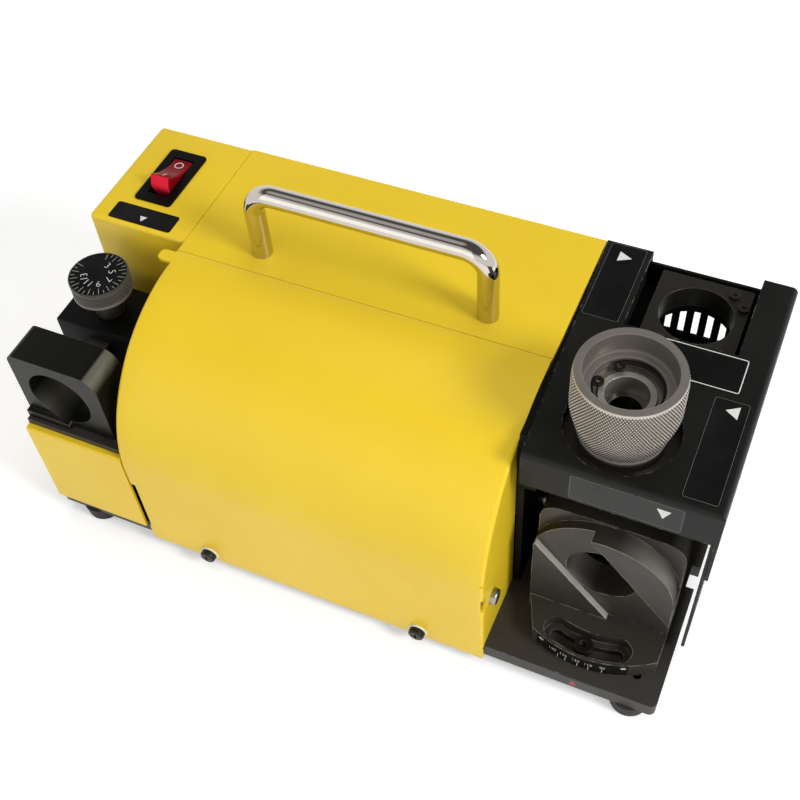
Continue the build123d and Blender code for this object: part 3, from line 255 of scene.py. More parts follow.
middle = (0.0, 0.0, 0.08)
seat_middle = (0.12, -0.06, 0.06)
soft_lamp("front_lamp", (-0.5, -1.6, 0.95), middle, 2.1, 8.8)
soft_lamp("top_lamp", (0.1, 0.3, 1.7), middle, 1.4, 14.0, shows_in_gloss=False)
soft_lamp("right_lamp", (1.3, -0.3, 1.05), middle, 0.45, 15.0)
soft_lamp("low_lamp", (0.7, -1.4, 0.4), seat_middle, 0.6, 3.0, shows_in_gloss=False)
print("lamps:", len(bpy.data.lights))

# %% [markdown]
# ## Effects that several finishes share
# Real coatings are never even. Each effect is one node group, built once, with its sizes as sockets, and it
# gives back plain values: a height, a mask or a mottle. The shader itself stays in each material.


# %% Group tools
def new_group(name, inputs, outputs):
    """An empty shader group with float inputs (a vector where the default is None) and float outputs."""
    tree = bpy.data.node_groups.new(name, "ShaderNodeTree")
    for socket, default in inputs.items():
        kind = "NodeSocketVector" if default is None else "NodeSocketFloat"
        made = tree.interface.new_socket(socket, in_out="INPUT", socket_type=kind)
        if default is not None:
            made.default_value = default
    for socket in outputs:
        tree.interface.new_socket(socket, in_out="OUTPUT", socket_type="NodeSocketFloat")
    return tree, add(tree, "NodeGroupInput").outputs, add(tree, "NodeGroupOutput")


def noise(tree, vector, scale, detail, roughness):
    """A noise texture's value; the scale is in features per metre."""
    inputs = {"Vector": vector, "Scale": scale, "Detail": detail, "Roughness": roughness}
    return add(tree, "ShaderNodeTexNoise", inputs).outputs["Fac"]


print("group tools ready")

# %% Coating
# Orange peel is a fine noise for the height; mottle is a broad one for colour and gloss.
sockets = {"Vector": None, "Peel": 700.0, "Patch": 18.0}
coating, given, result = new_group("coating", sockets, ["Height", "Mottle"])
feed(coating, result, {"Height": noise(coating, given["Vector"], given["Peel"], 3.0, 0.55),
                       "Mottle": noise(coating, given["Vector"], given["Patch"], 4.0, 0.6)})
print("coating nodes:", len(coating.nodes))

# %% Edge wear
# A rounded normal leaves the true one only near an edge; noise breaks that line into chips.
sockets = {"Vector": None, "Radius": 0.0006, "Chip": 260.0, "Bare": 0.5}
edge_wear, given, result = new_group("edge_wear", sockets, ["Mask"])
round_normal = add(edge_wear, "ShaderNodeBevel", {"Radius": given["Radius"]}, samples=6).outputs["Normal"]
true_normal = add(edge_wear, "ShaderNodeNewGeometry").outputs["Normal"]
bend = math_node(edge_wear, "SUBTRACT", 1.0, dot(edge_wear, round_normal, true_normal))
chips = noise(edge_wear, given["Vector"], given["Chip"], 5.0, 0.7)
chipped = math_node(edge_wear, "SUBTRACT", chips, math_node(edge_wear, "SUBTRACT", 1.0, given["Bare"]))
edge, gaps = remap(edge_wear, bend, 0.02, 0.16), remap(edge_wear, chipped, 0.0, 0.06)
feed(edge_wear, result, {"Mask": math_node(edge_wear, "MULTIPLY", edge, gaps)})
print("edge wear nodes:", len(edge_wear.nodes))

# %% Tool marks
# Noise is read along the distance from an upright axis and along that axis, so it draws rings.
tool_marks, given, result = new_group("tool_marks", {"Vector": None, "Pitch": 5000.0}, ["Rings"])
at = split(tool_marks, given["Vector"])
x_squared, y_squared = (math_node(tool_marks, "POWER", at[axis], 2.0) for axis in ("X", "Y"))
from_axis = math_node(tool_marks, "SQRT", math_node(tool_marks, "ADD", x_squared, y_squared))
ring = add(tool_marks, "ShaderNodeCombineXYZ", {"X": from_axis, "Y": at["Z"]}).outputs[0]
feed(tool_marks, result, {"Rings": noise(tool_marks, ring, given["Pitch"], 2.0, 0.6)})
print("groups:", [group.name for group in bpy.data.node_groups])

# %% [markdown]
# ## Finishes
# Each finish starts from a Principled shader on Object coordinates. What is the same all over stays a number
# on the shader; what varies comes from a group. Colours are written as they look, in 0..255, and every
# finish is kept under its name.

# %% Finish tools
finishes = {}


def finish(name, **plain):
    """A material with a Principled shader, its plain values set, and Object coordinates to hand."""
    made = bpy.data.materials.new(name)
    made.use_nodes = True
    finishes[name] = made
    tree = made.node_tree
    shader = tree.nodes["Principled BSDF"]
    for socket, value in plain.items():
        shader.inputs[socket.replace("_", " ").title().replace("Ior", "IOR")].default_value = value
    return tree, shader, coordinates(tree)


def use(tree, group, place, **values):
    """Place a node group in a material, fed with coordinates and its own values."""
    return add(tree, "ShaderNodeGroup", {"Vector": place, **values}, node_tree=group).outputs


def surface(tree, shader, tone, pattern, rough, height, depth, rise, span=(0.3, 0.7)):
    """Give the shader its tone, a roughness that follows a pattern, and a normal that leans with a height.

    The pattern's span becomes the roughness from and to; the rise of the height is in metres.
    """
    relief = {"Height": height, "Strength": depth, "Distance": rise}
    feed(tree, shader, {"Base Color": tone, "Roughness": remap(tree, pattern, *span, *rough),
                        "Normal": add(tree, "ShaderNodeBump", relief).outputs["Normal"]})


def mottled(tree, coat, colour, shade):
    """Two near colours, blended by the broad mottle of a coating."""
    return mix_colour(tree, remap(tree, coat["Mottle"], 0.3, 0.7), linear(*colour), linear(*shade))


print("finish tools ready")


# %% Coats that wear
def coated(name, colour, shade, under, rough, peel, patch, chip, radius, bare, depth, rise, **plain):
    """A mottled coat with a fine grain, worn along its edges to what lies under it."""
    tree, shader, place = finish(name, **plain)
    coat = use(tree, coating, place, Peel=peel, Patch=patch)
    worn = use(tree, edge_wear, place, Radius=radius, Chip=chip, Bare=bare)["Mask"]
    tone = mix_colour(tree, worn, mottled(tree, coat, colour, shade), linear(*under))
    surface(tree, shader, tone, coat["Mottle"], rough, coat["Height"], depth, rise, (0.25, 0.75))
    return tree, shader, worn


def painted(name, colour, shade, under, rough, peel, patch, chip, radius, bare, depth, gloss=0.4):
    """A coat of paint: mottled colour, orange peel, and chipped edges that show the metal under it."""
    tree, shader, worn = coated(name, colour, shade, under, rough, peel, patch, chip, radius, bare, depth,
                                0.00012, specular_ior_level=gloss)
    feed(tree, shader, {"Metallic": math_node(tree, "MULTIPLY", worn, 0.8)})


def machined(name, colour, shade, rough, metallic, rubbed_and_sheen, grain, depth, bare=0.62, radius=0.0004, gloss=0.5):
    """Bare or treated steel: a mottled tone, fine grain, and edges rubbed brighter."""
    coated(name, colour, shade, rubbed_and_sheen, rough, grain, 45.0, 120.0, radius, bare, depth, 0.00008,
           metallic=metallic, specular_ior_level=gloss)


print("coats ready")


# %% Turned and moulded surfaces
def turned(name, colour, shade, rough, axis, pitch, depth, metallic=1.0, cut_tone=None):
    """A lathe-turned finish: rings of tool marks about an upright axis (x, y in mm).

    Where a piece stores how deep it was cut, as the attribute cut, the cuts turn darker, towards the cut
    tone.
    """
    tree, shader, place = finish(name, metallic=metallic)
    moved = {"Vector": place, "Location": (-axis[0] * MM, -axis[1] * MM, 0)}
    about_axis = add(tree, "ShaderNodeMapping", moved).outputs["Vector"]
    rings = use(tree, tool_marks, about_axis, Pitch=pitch)["Rings"]
    tone = mottled(tree, use(tree, coating, place, Peel=900.0, Patch=60.0), colour, shade)
    if cut_tone:
        cut = add(tree, "ShaderNodeAttribute", attribute_name="cut").outputs["Fac"]
        tone = mix_colour(tree, remap(tree, cut, 0.25, 0.85), tone, linear(*cut_tone))
    surface(tree, shader, tone, rings, rough, rings, depth, 0.00004)


def moulded(name, colour, shade, rough, grain, depth, **plain):
    """Moulded plastic, rubber or print: an even colour with a fine eroded grain."""
    tree, shader, place = finish(name, **plain)
    coat = use(tree, coating, place, Peel=grain, Patch=40.0)
    tone = mix_colour(tree, coat["Mottle"], linear(*colour), linear(*shade))
    surface(tree, shader, tone, coat["Mottle"], rough, coat["Height"], depth, 0.00006)


print("surfaces ready")

# %% [markdown]
# ### Paints and metals
# The yellow is a satin powder coat with a faint peel. The black is thinner: it has chipped to bright steel
# along the deck's edges. The seats and blocks are phosphated, a brown-grey that hardly shines.

# %% Paints
bare_steel = (190, 186, 176)
painted("yellow_paint", (234, 200, 40), (229, 193, 38), (206, 170, 42), (0.34, 0.42),
        peel=900.0, patch=14.0, chip=300.0, radius=0.0004, bare=0.38, depth=0.10)
painted("black_paint", (17, 17, 16), (24, 23, 21), bare_steel, (0.34, 0.48),
        peel=1100.0, patch=30.0, chip=260.0, radius=0.0006, bare=0.47, depth=0.28, gloss=0.18)
# A darker copy of the black paint for parts that lie in shade: painted shade.
painted("shaded_black_paint", (9, 9, 8), (13, 12, 11), (60, 58, 54), (0.45, 0.6),
        peel=1100.0, patch=30.0, chip=260.0, radius=0.0004, bare=0.3, depth=0.2, gloss=0.12)
painted("base_paint", (48, 46, 43), (58, 55, 51), bare_steel, (0.42, 0.56),
        peel=1300.0, patch=22.0, chip=240.0, radius=0.0005, bare=0.44, depth=0.3, gloss=0.3)
print("paints:", len(finishes))

# %% Metals
# Each row: colour, shade, roughness from and to, metallic, rubbed edge, grain per metre, depth of the grain.
metals = {
    "phosphated_steel": ((62, 60, 53), (54, 52, 46), (0.32, 0.42), 0.75, (150, 145, 134), 1500.0, 0.18),
    "block_steel": ((30, 29, 25), (25, 24, 21), (0.3, 0.4), 0.5, (120, 115, 105), 1500.0, 0.18),
    "seat_steel": ((66, 64, 58), (57, 55, 49), (0.36, 0.46), 0.4, (190, 184, 170), 1500.0, 0.18),
    "tube_steel": ((160, 155, 145), (132, 127, 118), (0.2, 0.34), 0.3, (240, 236, 226), 1300.0, 0.1),
    "ground_steel": ((192, 187, 176), (176, 170, 159), (0.3, 0.4), 0.2, (235, 231, 222), 1700.0, 0.1),
    "plain_steel": ((176, 174, 168), (160, 157, 150), (0.26, 0.4), 1.0, (215, 213, 205), 1300.0, 0.10),
    "black_oxide": ((34, 33, 31), (46, 44, 40), (0.28, 0.42), 0.7, (120, 116, 108), 1400.0, 0.12),
    "motor_steel": ((122, 122, 124), (108, 107, 107), (0.35, 0.5), 0.8, (170, 170, 168), 1000.0, 0.15),
    "cast_alloy": ((172, 173, 174), (150, 150, 150), (0.42, 0.58), 0.85, (205, 205, 204), 520.0, 0.5),
    "ferrite": ((60, 60, 63), (72, 71, 72), (0.55, 0.7), 0.15, (96, 96, 98), 1600.0, 0.3),
    "carbon": ((40, 40, 41), (52, 51, 50), (0.5, 0.66), 0.1, (78, 78, 78), 2000.0, 0.2),
}
# The draw tube's edges are turned almost all bright: wear, and a painted highlight on its rings.
own_wear_and_highlight = {"block_steel": {"gloss": 0.2}, "seat_steel": {"bare": 0.55, "radius": 0.0005},
            "tube_steel": {"bare": 0.9, "radius": 0.0006}}
for name, row in metals.items():
    machined(name, *row, **own_wear_and_highlight.get(name, {}))
turned("copper", (205, 128, 84), (188, 108, 70), (0.22, 0.36), (0.0, 0.0), 4000.0, 0.3)
turned("nickel_steel", (204, 196, 186), (192, 184, 174), (0.34, 0.46), chuck_axis, 5200.0, 0.25,
       metallic=0.6, cut_tone=(66, 61, 54))
turned("anodised_black", (142, 139, 130), (130, 127, 118), (0.36, 0.5), dial_axis, 4600.0, 0.3,
       metallic=0.6, cut_tone=(14, 14, 12))
print("paints and metals:", len(finishes))

# %% [markdown]
# ### Painted highlights on two steel blocks
# Light from the right is painted onto the sides of two steel blocks that turn to +X and up, as a lighter
# tone:
# a painted highlight. The place is found from the way a surface faces, so it needs no painted map: a mask
# rises where the normal turns to +X and up, and lays a lighter tone over the finish.


# %% Painted highlights on the block and the seat
def lighten(name, colour, mask_of):
    """Lay a lighter colour over a finish by a mask, worked out from the object's own normal and place: a
    painted highlight.
    """
    tree = finishes[name].node_tree
    shader = tree.nodes["Principled BSDF"]
    tone = shader.inputs["Base Color"].links[0].from_socket
    mask = mask_of(tree, split(tree, coordinates(tree, "Normal")), split(tree, coordinates(tree)))
    feed(tree, shader, {"Base Color": mix_colour(tree, mask, tone, linear(*colour))})


def block_shoulder(tree, facing, place):
    """Painted sheen where the setting block turns to +X: a sharp rise near its top, a soft one in the bore.

    The rise is soft + near_top (sharp - soft), and it fades where the surface doesn't face up.
    """
    near_top = remap(tree, place["Z"], block_top - 0.016, block_top - 0.012)
    sharp = remap(tree, facing["X"], 0.3, 0.42)
    soft = remap(tree, facing["X"], 0.0, 1.0, 0.0, 0.8)
    sharper = math_node(tree, "MULTIPLY", near_top, math_node(tree, "SUBTRACT", sharp, soft))
    rubbed_and_sheen = math_node(tree, "ADD", soft, sharper)
    return math_node(tree, "MULTIPLY", rubbed_and_sheen, remap(tree, facing["Z"], 0.1, 0.75))


def seat_rounds(tree, facing, place):
    """Painted light on the seat's round sides that turn to +X and up: the outside of its cam and the left of
    its bore.
    """
    to_right, upwards = remap(tree, facing["X"], 0.15, 0.85), remap(tree, facing["Z"], 0.05, 0.6)
    return math_node(tree, "MULTIPLY", to_right, upwards)


block_top = box_mm("setting_block")[1][2] * MM
# The lighter colours are painted light: a sheen on the block's shoulder and bore, and light from the right on
# the seat's rounds.
lighten("block_steel", (112, 110, 100), block_shoulder)
lighten("seat_steel", (150, 146, 138), seat_rounds)
print("the setting block's top is at z", round(block_top, 4), "m")

# %% [markdown]
# ### Chrome, plastics, rubber and grit
# The handle's chrome is a mirror with the least waviness. Plastics and rubber carry the fine grain of their
# moulds. The rocker's red is a little translucent: deep red above, and painted brighter where its faces turn
# to the front, a painted highlight.
# The wheel's rim is a bed of grains, which a Voronoi texture gives.

# %% Chrome
tree, shader, place = finish("chrome", metallic=1.0)
coat = use(tree, coating, place, Peel=400.0, Patch=60.0)
tone = mix_colour(tree, coat["Mottle"], linear(206, 200, 192), linear(192, 186, 178))
surface(tree, shader, tone, coat["Mottle"], (0.03, 0.09), coat["Height"], 0.02, 0.00005, (0.3, 0.8))
print("chrome nodes:", len(tree.nodes))

# %% Plastics, rubber and print
moulded("rubber", (40, 38, 36), (50, 48, 46), (0.62, 0.8), 1400.0, 0.5, specular_ior_level=0.3)
moulded("white_nylon", (232, 230, 222), (222, 219, 208), (0.4, 0.5), 1500.0, 0.1)
moulded("black_plastic", (8, 8, 7), (12, 12, 11), (0.34, 0.46), 1700.0, 0.3, specular_ior_level=0.08)
moulded("label_film", (13, 13, 13), (19, 19, 18), (0.10, 0.34), 160.0, 0.10, specular_ior_level=0.28)
inks = {"print_white": ((226, 226, 222), (205, 205, 200)), "print_grey": ((118, 117, 112), (92, 91, 87)),
        "print_pale": ((176, 175, 170), (156, 155, 150)), "print_red": ((168, 52, 70), (150, 42, 60))}
for name, (colour, shade) in inks.items():
    moulded(name, colour, shade, (0.4, 0.5), 1800.0, 0.1)
print("inks:", len(inks))

# %% Red plastic and grit
tree, shader, place = finish("red_plastic", subsurface_weight=0.3, subsurface_scale=0.003,
                             specular_ior_level=0.06)
# Faces that turn to the front get a brighter red: a painted highlight where the front lamp falls.
front_lit = remap(tree, split(tree, coordinates(tree, "Normal"))["Y"], -0.75, -0.35, 1.0, 0.0)
coat = use(tree, coating, place, Peel=900.0, Patch=40.0)
tone = mix_colour(tree, front_lit, linear(122, 8, 18), linear(232, 36, 62))
surface(tree, shader, tone, coat["Mottle"], (0.12, 0.2), coat["Height"], 0.04, 0.00006)

tree, shader, place = finish("abrasive", metallic=0.1)
grains = add(tree, "ShaderNodeTexVoronoi", {"Vector": place, "Scale": 2600.0}).outputs["Distance"]
tone = mix_colour(tree, remap(tree, grains, 0.1, 0.6), linear(120, 116, 108), linear(70, 68, 64))
surface(tree, shader, tone, grains, (0.35, 0.75), grains, 0.8, 0.0002, (0.0, 0.6))
print("finishes:", len(finishes))

# %% [markdown]
# ### Giving the CAD nodes their finish
# The record names a material slot for every node. Most finishes have the name of their slot, so one loop
# dresses the nodes, the motor and the chuck's inside as well as what shows. The others are kinds of a slot:
# a film is black plastic, an ink is white nylon, a darker steel is still the same steel.

# %% Dress the CAD nodes
slot_of_node = {row["node"]: row["material_slot"] for row in frame["record"]["subparts"]}
# Parts under the deck and its skirt get the shaded black paint instead of their slot's finish: painted shade.
unlit = ("motor_bulkhead", "seat_bridge", "deck_standoffs")
for node, slot in slot_of_node.items():
    nodes[node].data.materials.clear()
    nodes[node].data.materials.append(finishes["shaded_black_paint" if node in unlit else slot])
print("dressed", len(slot_of_node), "nodes")

# %% [markdown]
# ## Tools for pieces
# A piece is a grid of points, or a closed outline carried along a path. The tools below turn such arrays
# into shapes, each a pair of points and faces, give corners a small round, and hand the piece to the body
# that it moves with.


# %% Faces and outlines
def quads(rows, columns, wrap_rows=False, wrap_columns=False):
    """Quad faces of a grid stored row by row; wrapping joins the last row or column to the first."""
    row = np.arange(rows if wrap_rows else rows - 1)
    column = np.arange(columns if wrap_columns else columns - 1)
    i, j = (index.ravel() for index in np.meshgrid(row, column, indexing="ij"))
    down, right = (i + 1) % rows, (j + 1) % columns
    corners = [i * columns + j, i * columns + right, down * columns + right, down * columns + j]
    return np.stack(corners, axis=1)


def full_turn(steps):
    """Angles once round, in even steps from nought."""
    return np.arange(steps) * 2 * math.pi / steps


def rounded(corners, radius, steps=4):
    """Round a closed outline, from a radius before each corner C to a radius after it.

    Between the ends A and B of that stretch, a point is (1-t)^2 A + 2t(1-t) C + t^2 B.
    """
    corner = np.asarray(corners, dtype=float)
    reach = np.broadcast_to(np.asarray(radius, dtype=float), (len(corner),))[:, None]
    to_last = np.roll(corner, 1, axis=0) - corner
    to_next = np.roll(corner, -1, axis=0) - corner
    start = corner + to_last / np.linalg.norm(to_last, axis=1, keepdims=True) * reach
    end = corner + to_next / np.linalg.norm(to_next, axis=1, keepdims=True) * reach
    t = np.linspace(0, 1, steps + 1)[None, :, None]
    curve = (1 - t) ** 2 * start[:, None] + 2 * t * (1 - t) * corner[:, None] + t**2 * end[:, None]
    return curve.reshape(-1, corner.shape[1])


print("faces of a 3 by 3 grid:", len(quads(3, 3)))


# %% Shapes
def lathe(profile, centre, columns, cut):
    """Carry a closed (radius, z) profile round an upright axis.

    x = cx + r cos a and y = cy + r sin a, with r less the depth that is cut there.
    """
    angle = full_turn(columns)
    radius, height = np.asarray(profile).T
    radius = radius[:, None] - np.broadcast_to(cut, (len(radius), columns))
    points = np.stack([centre[0] + radius * np.cos(angle), centre[1] + radius * np.sin(angle),
                       np.repeat(height[:, None], columns, axis=1)], axis=-1)
    return points.reshape(-1, 3), quads(len(height), columns, True, True).tolist()


def slab(outline, low, high):
    """A plate with a closed (u, v) outline between two heights: two rings of points, two caps, the sides."""
    count = len(outline)
    ring = np.asarray(outline)
    points = np.concatenate([np.c_[ring, np.full(count, low)], np.c_[ring, np.full(count, high)]])
    faces = quads(2, count, wrap_columns=True).tolist()
    return points, faces + [list(range(count))[::-1], list(range(count, 2 * count))]


def laid(shape, lay, *where):
    """A flat shape, its points laid on a surface by a function."""
    points, faces = shape
    return lay(points, *where), faces


def several(parts):
    """Put several shapes into one, with the face numbers moved along."""
    faces, count = [], 0
    for points, shape in parts:
        faces += [[int(v) + count for v in face] for face in shape]
        count += len(points)
    return np.concatenate([points for points, _ in parts]), faces


print("shape tools ready")


# %% Pieces
def points_of(mesh):
    """A mesh's points as rows of an array, in metres."""
    flat = np.empty(len(mesh.vertices) * 3)
    mesh.vertices.foreach_get("co", flat)
    return flat.reshape(-1, 3)


def new_piece(name, shape, finish_name, body, node=None, smooth_below=40.0, closed=True):
    """A mesh piece from a shape in mm: doubles merged, a closed shell turned outwards, low angles smooth.

    It takes its finish, and stands for a CAD node where one is given.
    """
    points, faces = shape
    mesh = bpy.data.meshes.new(name)
    mesh.from_pydata((np.asarray(points) * MM).tolist(), [], [list(face) for face in faces])
    shell = bmesh.new()
    shell.from_mesh(mesh)
    bmesh.ops.remove_doubles(shell, verts=shell.verts, dist=2e-7)
    bmesh.ops.dissolve_degenerate(shell, edges=shell.edges, dist=2e-7)
    if closed:
        bmesh.ops.recalc_face_normals(shell, faces=shell.faces)
    shell.to_mesh(mesh)
    shell.free()
    mesh.materials.append(finishes[finish_name])
    mesh.polygons.foreach_set("use_smooth", np.ones(len(mesh.polygons), dtype=bool))
    mesh.set_sharp_from_angle(angle=math.radians(smooth_below))
    piece = bpy.data.objects.new(name, mesh)
    bpy.context.scene.collection.objects.link(piece)
    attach(piece, body)
    if node:
        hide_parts(node)
    return piece


def bevel(piece, name, width, steps, angle):
    """A Bevel modifier that rounds the edges sharper than an angle in degrees, by a width in mm."""
    edges = piece.modifiers.new(name, "BEVEL")
    edges.width = width * MM
    edges.segments = steps
    edges.limit_method = "ANGLE"
    edges.angle_limit = math.radians(angle)
    return edges


bodies = frame["record"]["behaviour"]["bodies"]
body_of_node = {node: body for body, names in bodies.items() for node in names}

# %% [markdown]
# ## Blocks and folded sheets with soft edges
# No real edge is a knife edge: milled blocks are broken with a file, and a folded sheet has a bend. A light
# catches these small rounds, so they do more for the look than any texture. The CAD shape is right, so a
# copy is welded, its flat triangles are joined into faces, and a Bevel modifier rounds what is sharp.

# %% Softened copies of CAD nodes
sharp_angle = 32.0
flat_angle = math.radians(0.4)


def soften(node, width, finish_name):
    """A welded copy of a CAD node, its sharp edges rounded by a width in mm."""
    source = nodes[node].data
    shape = (points_of(source) / MM, [list(face.vertices) for face in source.polygons])
    piece = new_piece(node + "_soft", shape, finish_name, body_of_node[node], node, sharp_angle, closed=False)
    shell = bmesh.new()
    shell.from_mesh(piece.data)
    bmesh.ops.dissolve_limit(shell, angle_limit=flat_angle, verts=shell.verts, edges=shell.edges)
    shell.to_mesh(piece.data)
    shell.free()
    bevel(piece, "soft_edges", width, 2, sharp_angle).harden_normals = True


sheet_metal = {"main_housing": 0.7, "switch_box": 0.7, "setting_pedestal": 0.6, "station_deck": 0.35,
               "side_panel": 0.3, "base_plate": 0.4, "setting_base": 0.4, "back_wall": 0.3,
               "dial_bracket": 0.3}
milled = {"setting_block": 0.35, "relief_seat": 0.3, "swivel_seat": 0.35, "switch_bezel": 0.3,
          "rubber_feet": 0.5, "chuck_circlip": 0.15, "draw_tube": 0.3, "cover_screws": 0.3,
          "cover_washers": 0.15, "clamp_screw": 0.25, "seat_screws": 0.15, "side_panel_screws": 0.2}
# The back wall and the dial's bracket also take the shaded black paint: painted shade.
own_finish = {"base_plate": "base_paint", "setting_base": "base_paint", "back_wall": "shaded_black_paint",
              "dial_bracket": "shaded_black_paint", "swivel_seat": "seat_steel", "setting_block": "block_steel",
              "draw_tube": "tube_steel", "seat_screws": "black_oxide", "side_panel_screws": "black_oxide"}
for node, width in {**sheet_metal, **milled}.items():
    soften(node, width, own_finish.get(node, slot_of_node[node]))
print("softened", len(sheet_metal) + len(milled), "nodes")

# %% [markdown]
# ### The deck's left edge
# The deck's sheet is cut back a little towards the front, where the cover's round falls away beside it, so a
# dark strip shows there. The points of that edge are moved along X by a share that grows from the back to
# the front.

# %% Cut the edge back
cut_back = 3.7
edge_reach = 0.5
deck_mesh = bpy.data.objects["station_deck_soft"].data
deck_points = points_of(deck_mesh)
at_edge = deck_points[:, 0] < (deck_low[0] + edge_reach) * MM
share = (deck_high[1] * MM - deck_points[:, 1]) / ((deck_high[1] - deck_low[1]) * MM)
deck_points[:, 0] += np.where(at_edge, cut_back * MM * share, 0.0)
deck_mesh.vertices.foreach_set("co", deck_points.ravel())
deck_mesh.update()
print("edge points moved:", int(at_edge.sum()), "of", len(at_edge))

# %% [markdown]
# ## The front cover
# One sheet is rolled over the wheel: upright in front, a quarter round above, flat up to the seam, with its
# two ends folded in as side plates. So it is a grid: rows go along that line, columns go from the left
# plate's edge, round the left fold, across the skin, round the right fold and along the right plate.
# Solidify then gives the sheet its gauge, inwards.

# %% Sizes of the cover
sheet = 1.5
fold = 1.7
cover_radius = 70.0
cover_face = cover_low[1]
seam_y = housing_low[1] + 8.0
cover_left, cover_right = housing_low[0], cover_high[0]
base_top = box_mm("base_plate")[1][2]
plate_edge = cover_face + sheet + 37.5
slit_low, slit_high, slit_end = 72.4, 73.4, cover_face + sheet + 10.0
notch_low, notch_high, notch_end = 51.0, 61.0, cover_face + 4.2
step_z, step_width = 54.0, 2.4
tab_front = seam_y - 7.6
round_z = top_z - cover_radius
print("cover from x", round(cover_left, 1), "to", round(cover_right, 1), "seam at y", round(seam_y, 2))

# %% The line of the cover
upright_z = np.concatenate([[cover_low[2], 12.0, base_top - 0.3, base_top], np.linspace(22, notch_low, 5),
                            [step_z - 0.2, step_z + 0.2], np.linspace(notch_high, round_z, 2)])
slit_turn = np.degrees(np.arcsin((np.array([slit_low, slit_high]) - round_z) / cover_radius))
roll = np.radians(np.unique(np.concatenate([np.linspace(0, 90, 46)[1:], slit_turn])))
roll_y, roll_z = cover_face + cover_radius * (1 - np.cos(roll)), top_z - cover_radius * (1 - np.sin(roll))
top_y = np.concatenate([[tab_front - 0.1, tab_front + 0.1], np.linspace(tab_front, seam_y, 3)[1:]])
line_y = np.concatenate([np.full(len(upright_z), cover_face), roll_y, top_y])
line_z = np.concatenate([upright_z, roll_z, np.full(len(top_y), top_z)])
lean = np.concatenate([np.zeros(len(upright_z)), roll, np.full(len(top_y), math.pi / 2)])
print("cover line:", len(line_y), "rows")


# %% The folded ends
def folded_end(edge_x, side, far_y, flat_y):
    """Columns of one end: round the fold by an angle b, and then on to far_y.

    x = edge -/+ f(1 - sin b), and f(1 - cos b) inwards, with f the radius of the fold. A row that has no
    plate beside it (below the base, or past flat_y) runs flat to the edge instead.
    """
    plated = ((line_z >= base_top - 0.01) & (line_y < flat_y))[:, None]
    turn = np.linspace(0, math.pi / 2, 6)[None, :]
    inward = np.where(plated, fold * (1 - np.cos(turn)), 0.0)
    along = np.where(plated, fold * (1 - np.sin(turn)), fold * (1 - turn * 2 / math.pi))
    x = edge_x[:, None] - side * along
    y = line_y[:, None] + inward * np.cos(lean)[:, None]
    z = line_z[:, None] - inward * np.sin(lean)[:, None]
    steps = np.concatenate([[notch_end, slit_end], np.linspace(slit_end, far_y, 6)[1:]])[None, :]
    plate_y = np.where(plated, np.maximum(steps, y[:, -1:]), y[:, -1:])
    plate_x, plate_z = (np.repeat(last[:, -1:], steps.shape[1], axis=1) for last in (x, z))
    return np.stack([np.c_[x, plate_x], np.c_[y, plate_y], np.c_[z, plate_z]], axis=-1)


right_edge = np.full(len(line_z), cover_right)
left_edge = np.where(line_z < step_z, cover_left + step_width, cover_left)
right_end = folded_end(right_edge, 1, plate_edge, plate_edge - fold)
left_end = folded_end(left_edge, -1, seam_y, tab_front)[:, ::-1]
print("columns at each end:", left_end.shape[1], right_end.shape[1])

# %% The sheet, with its slit and notch
skin_x = np.linspace(cover_left + fold, cover_right - fold, 26)[1:-1]
skin = np.stack(np.broadcast_arrays(skin_x[None, :], line_y[:, None], line_z[:, None]), axis=-1)
cover_grid = np.concatenate([left_end, skin, right_end], axis=1)
cover_points, cover_faces = cover_grid.reshape(-1, 3), quads(*cover_grid.shape[:2])
corner = cover_points[cover_faces]
face_x, face_y, face_z = corner.mean(axis=1).T
face_size = np.linalg.norm(np.cross(corner[:, 2] - corner[:, 0], corner[:, 3] - corner[:, 1]), axis=1)
in_slit = (face_x > cover_right - fold) & (face_y < slit_end) & (face_z > slit_low) & (face_z < slit_high)
in_notch = ((face_x > cover_right - 0.7 * fold) & (face_y < notch_end)
            & (face_z > notch_low) & (face_z < notch_high))
cover_faces = cover_faces[(face_size > 1e-4) & ~in_slit & ~in_notch]
front_cover = new_piece("front_cover_sheet", (cover_points, cover_faces.tolist()), "yellow_paint", "machine",
                        "front_cover", 35.0, closed=False)
gauge = front_cover.modifiers.new("gauge", "SOLIDIFY")
gauge.thickness = sheet * MM
gauge.offset = -1.0
bevel(front_cover, "soft_edges", 0.25, 2, 50)
print("cover faces:", len(cover_faces))

# %% [markdown]
# ### The tab at the cover's corner
# A small ear of the sheet reaches past the housing, so that a finger can lift the cover. It is a flat
# outline with two round corners, given the same gauge.

# %% The tab
tab_tip, tab_root = cover_low[0], cover_left + 1.4
tab_back = tab_front + 6.4
tab_round, root_round = 2.9, 0.1
tab_corners = [(tab_root, tab_front), (tab_tip, tab_front), (tab_tip, tab_back), (tab_root, tab_back)]
tab_outline = rounded(tab_corners, [root_round, tab_round, tab_round, root_round], 8)[::-1]
new_piece("cover_tab", slab(tab_outline, top_z - sheet, top_z + 0.01), "yellow_paint", "machine")
print("tab", round(cover_left - tab_tip, 1), "by", round(tab_back - tab_front, 1), "mm")

# %% [markdown]
# ## The carry handle
# A chromed rod with two bends. Its path is two straight legs, two quarter circles and a bar, all in one
# upright plane, so a ring of points square to the path at every step makes the whole rod.

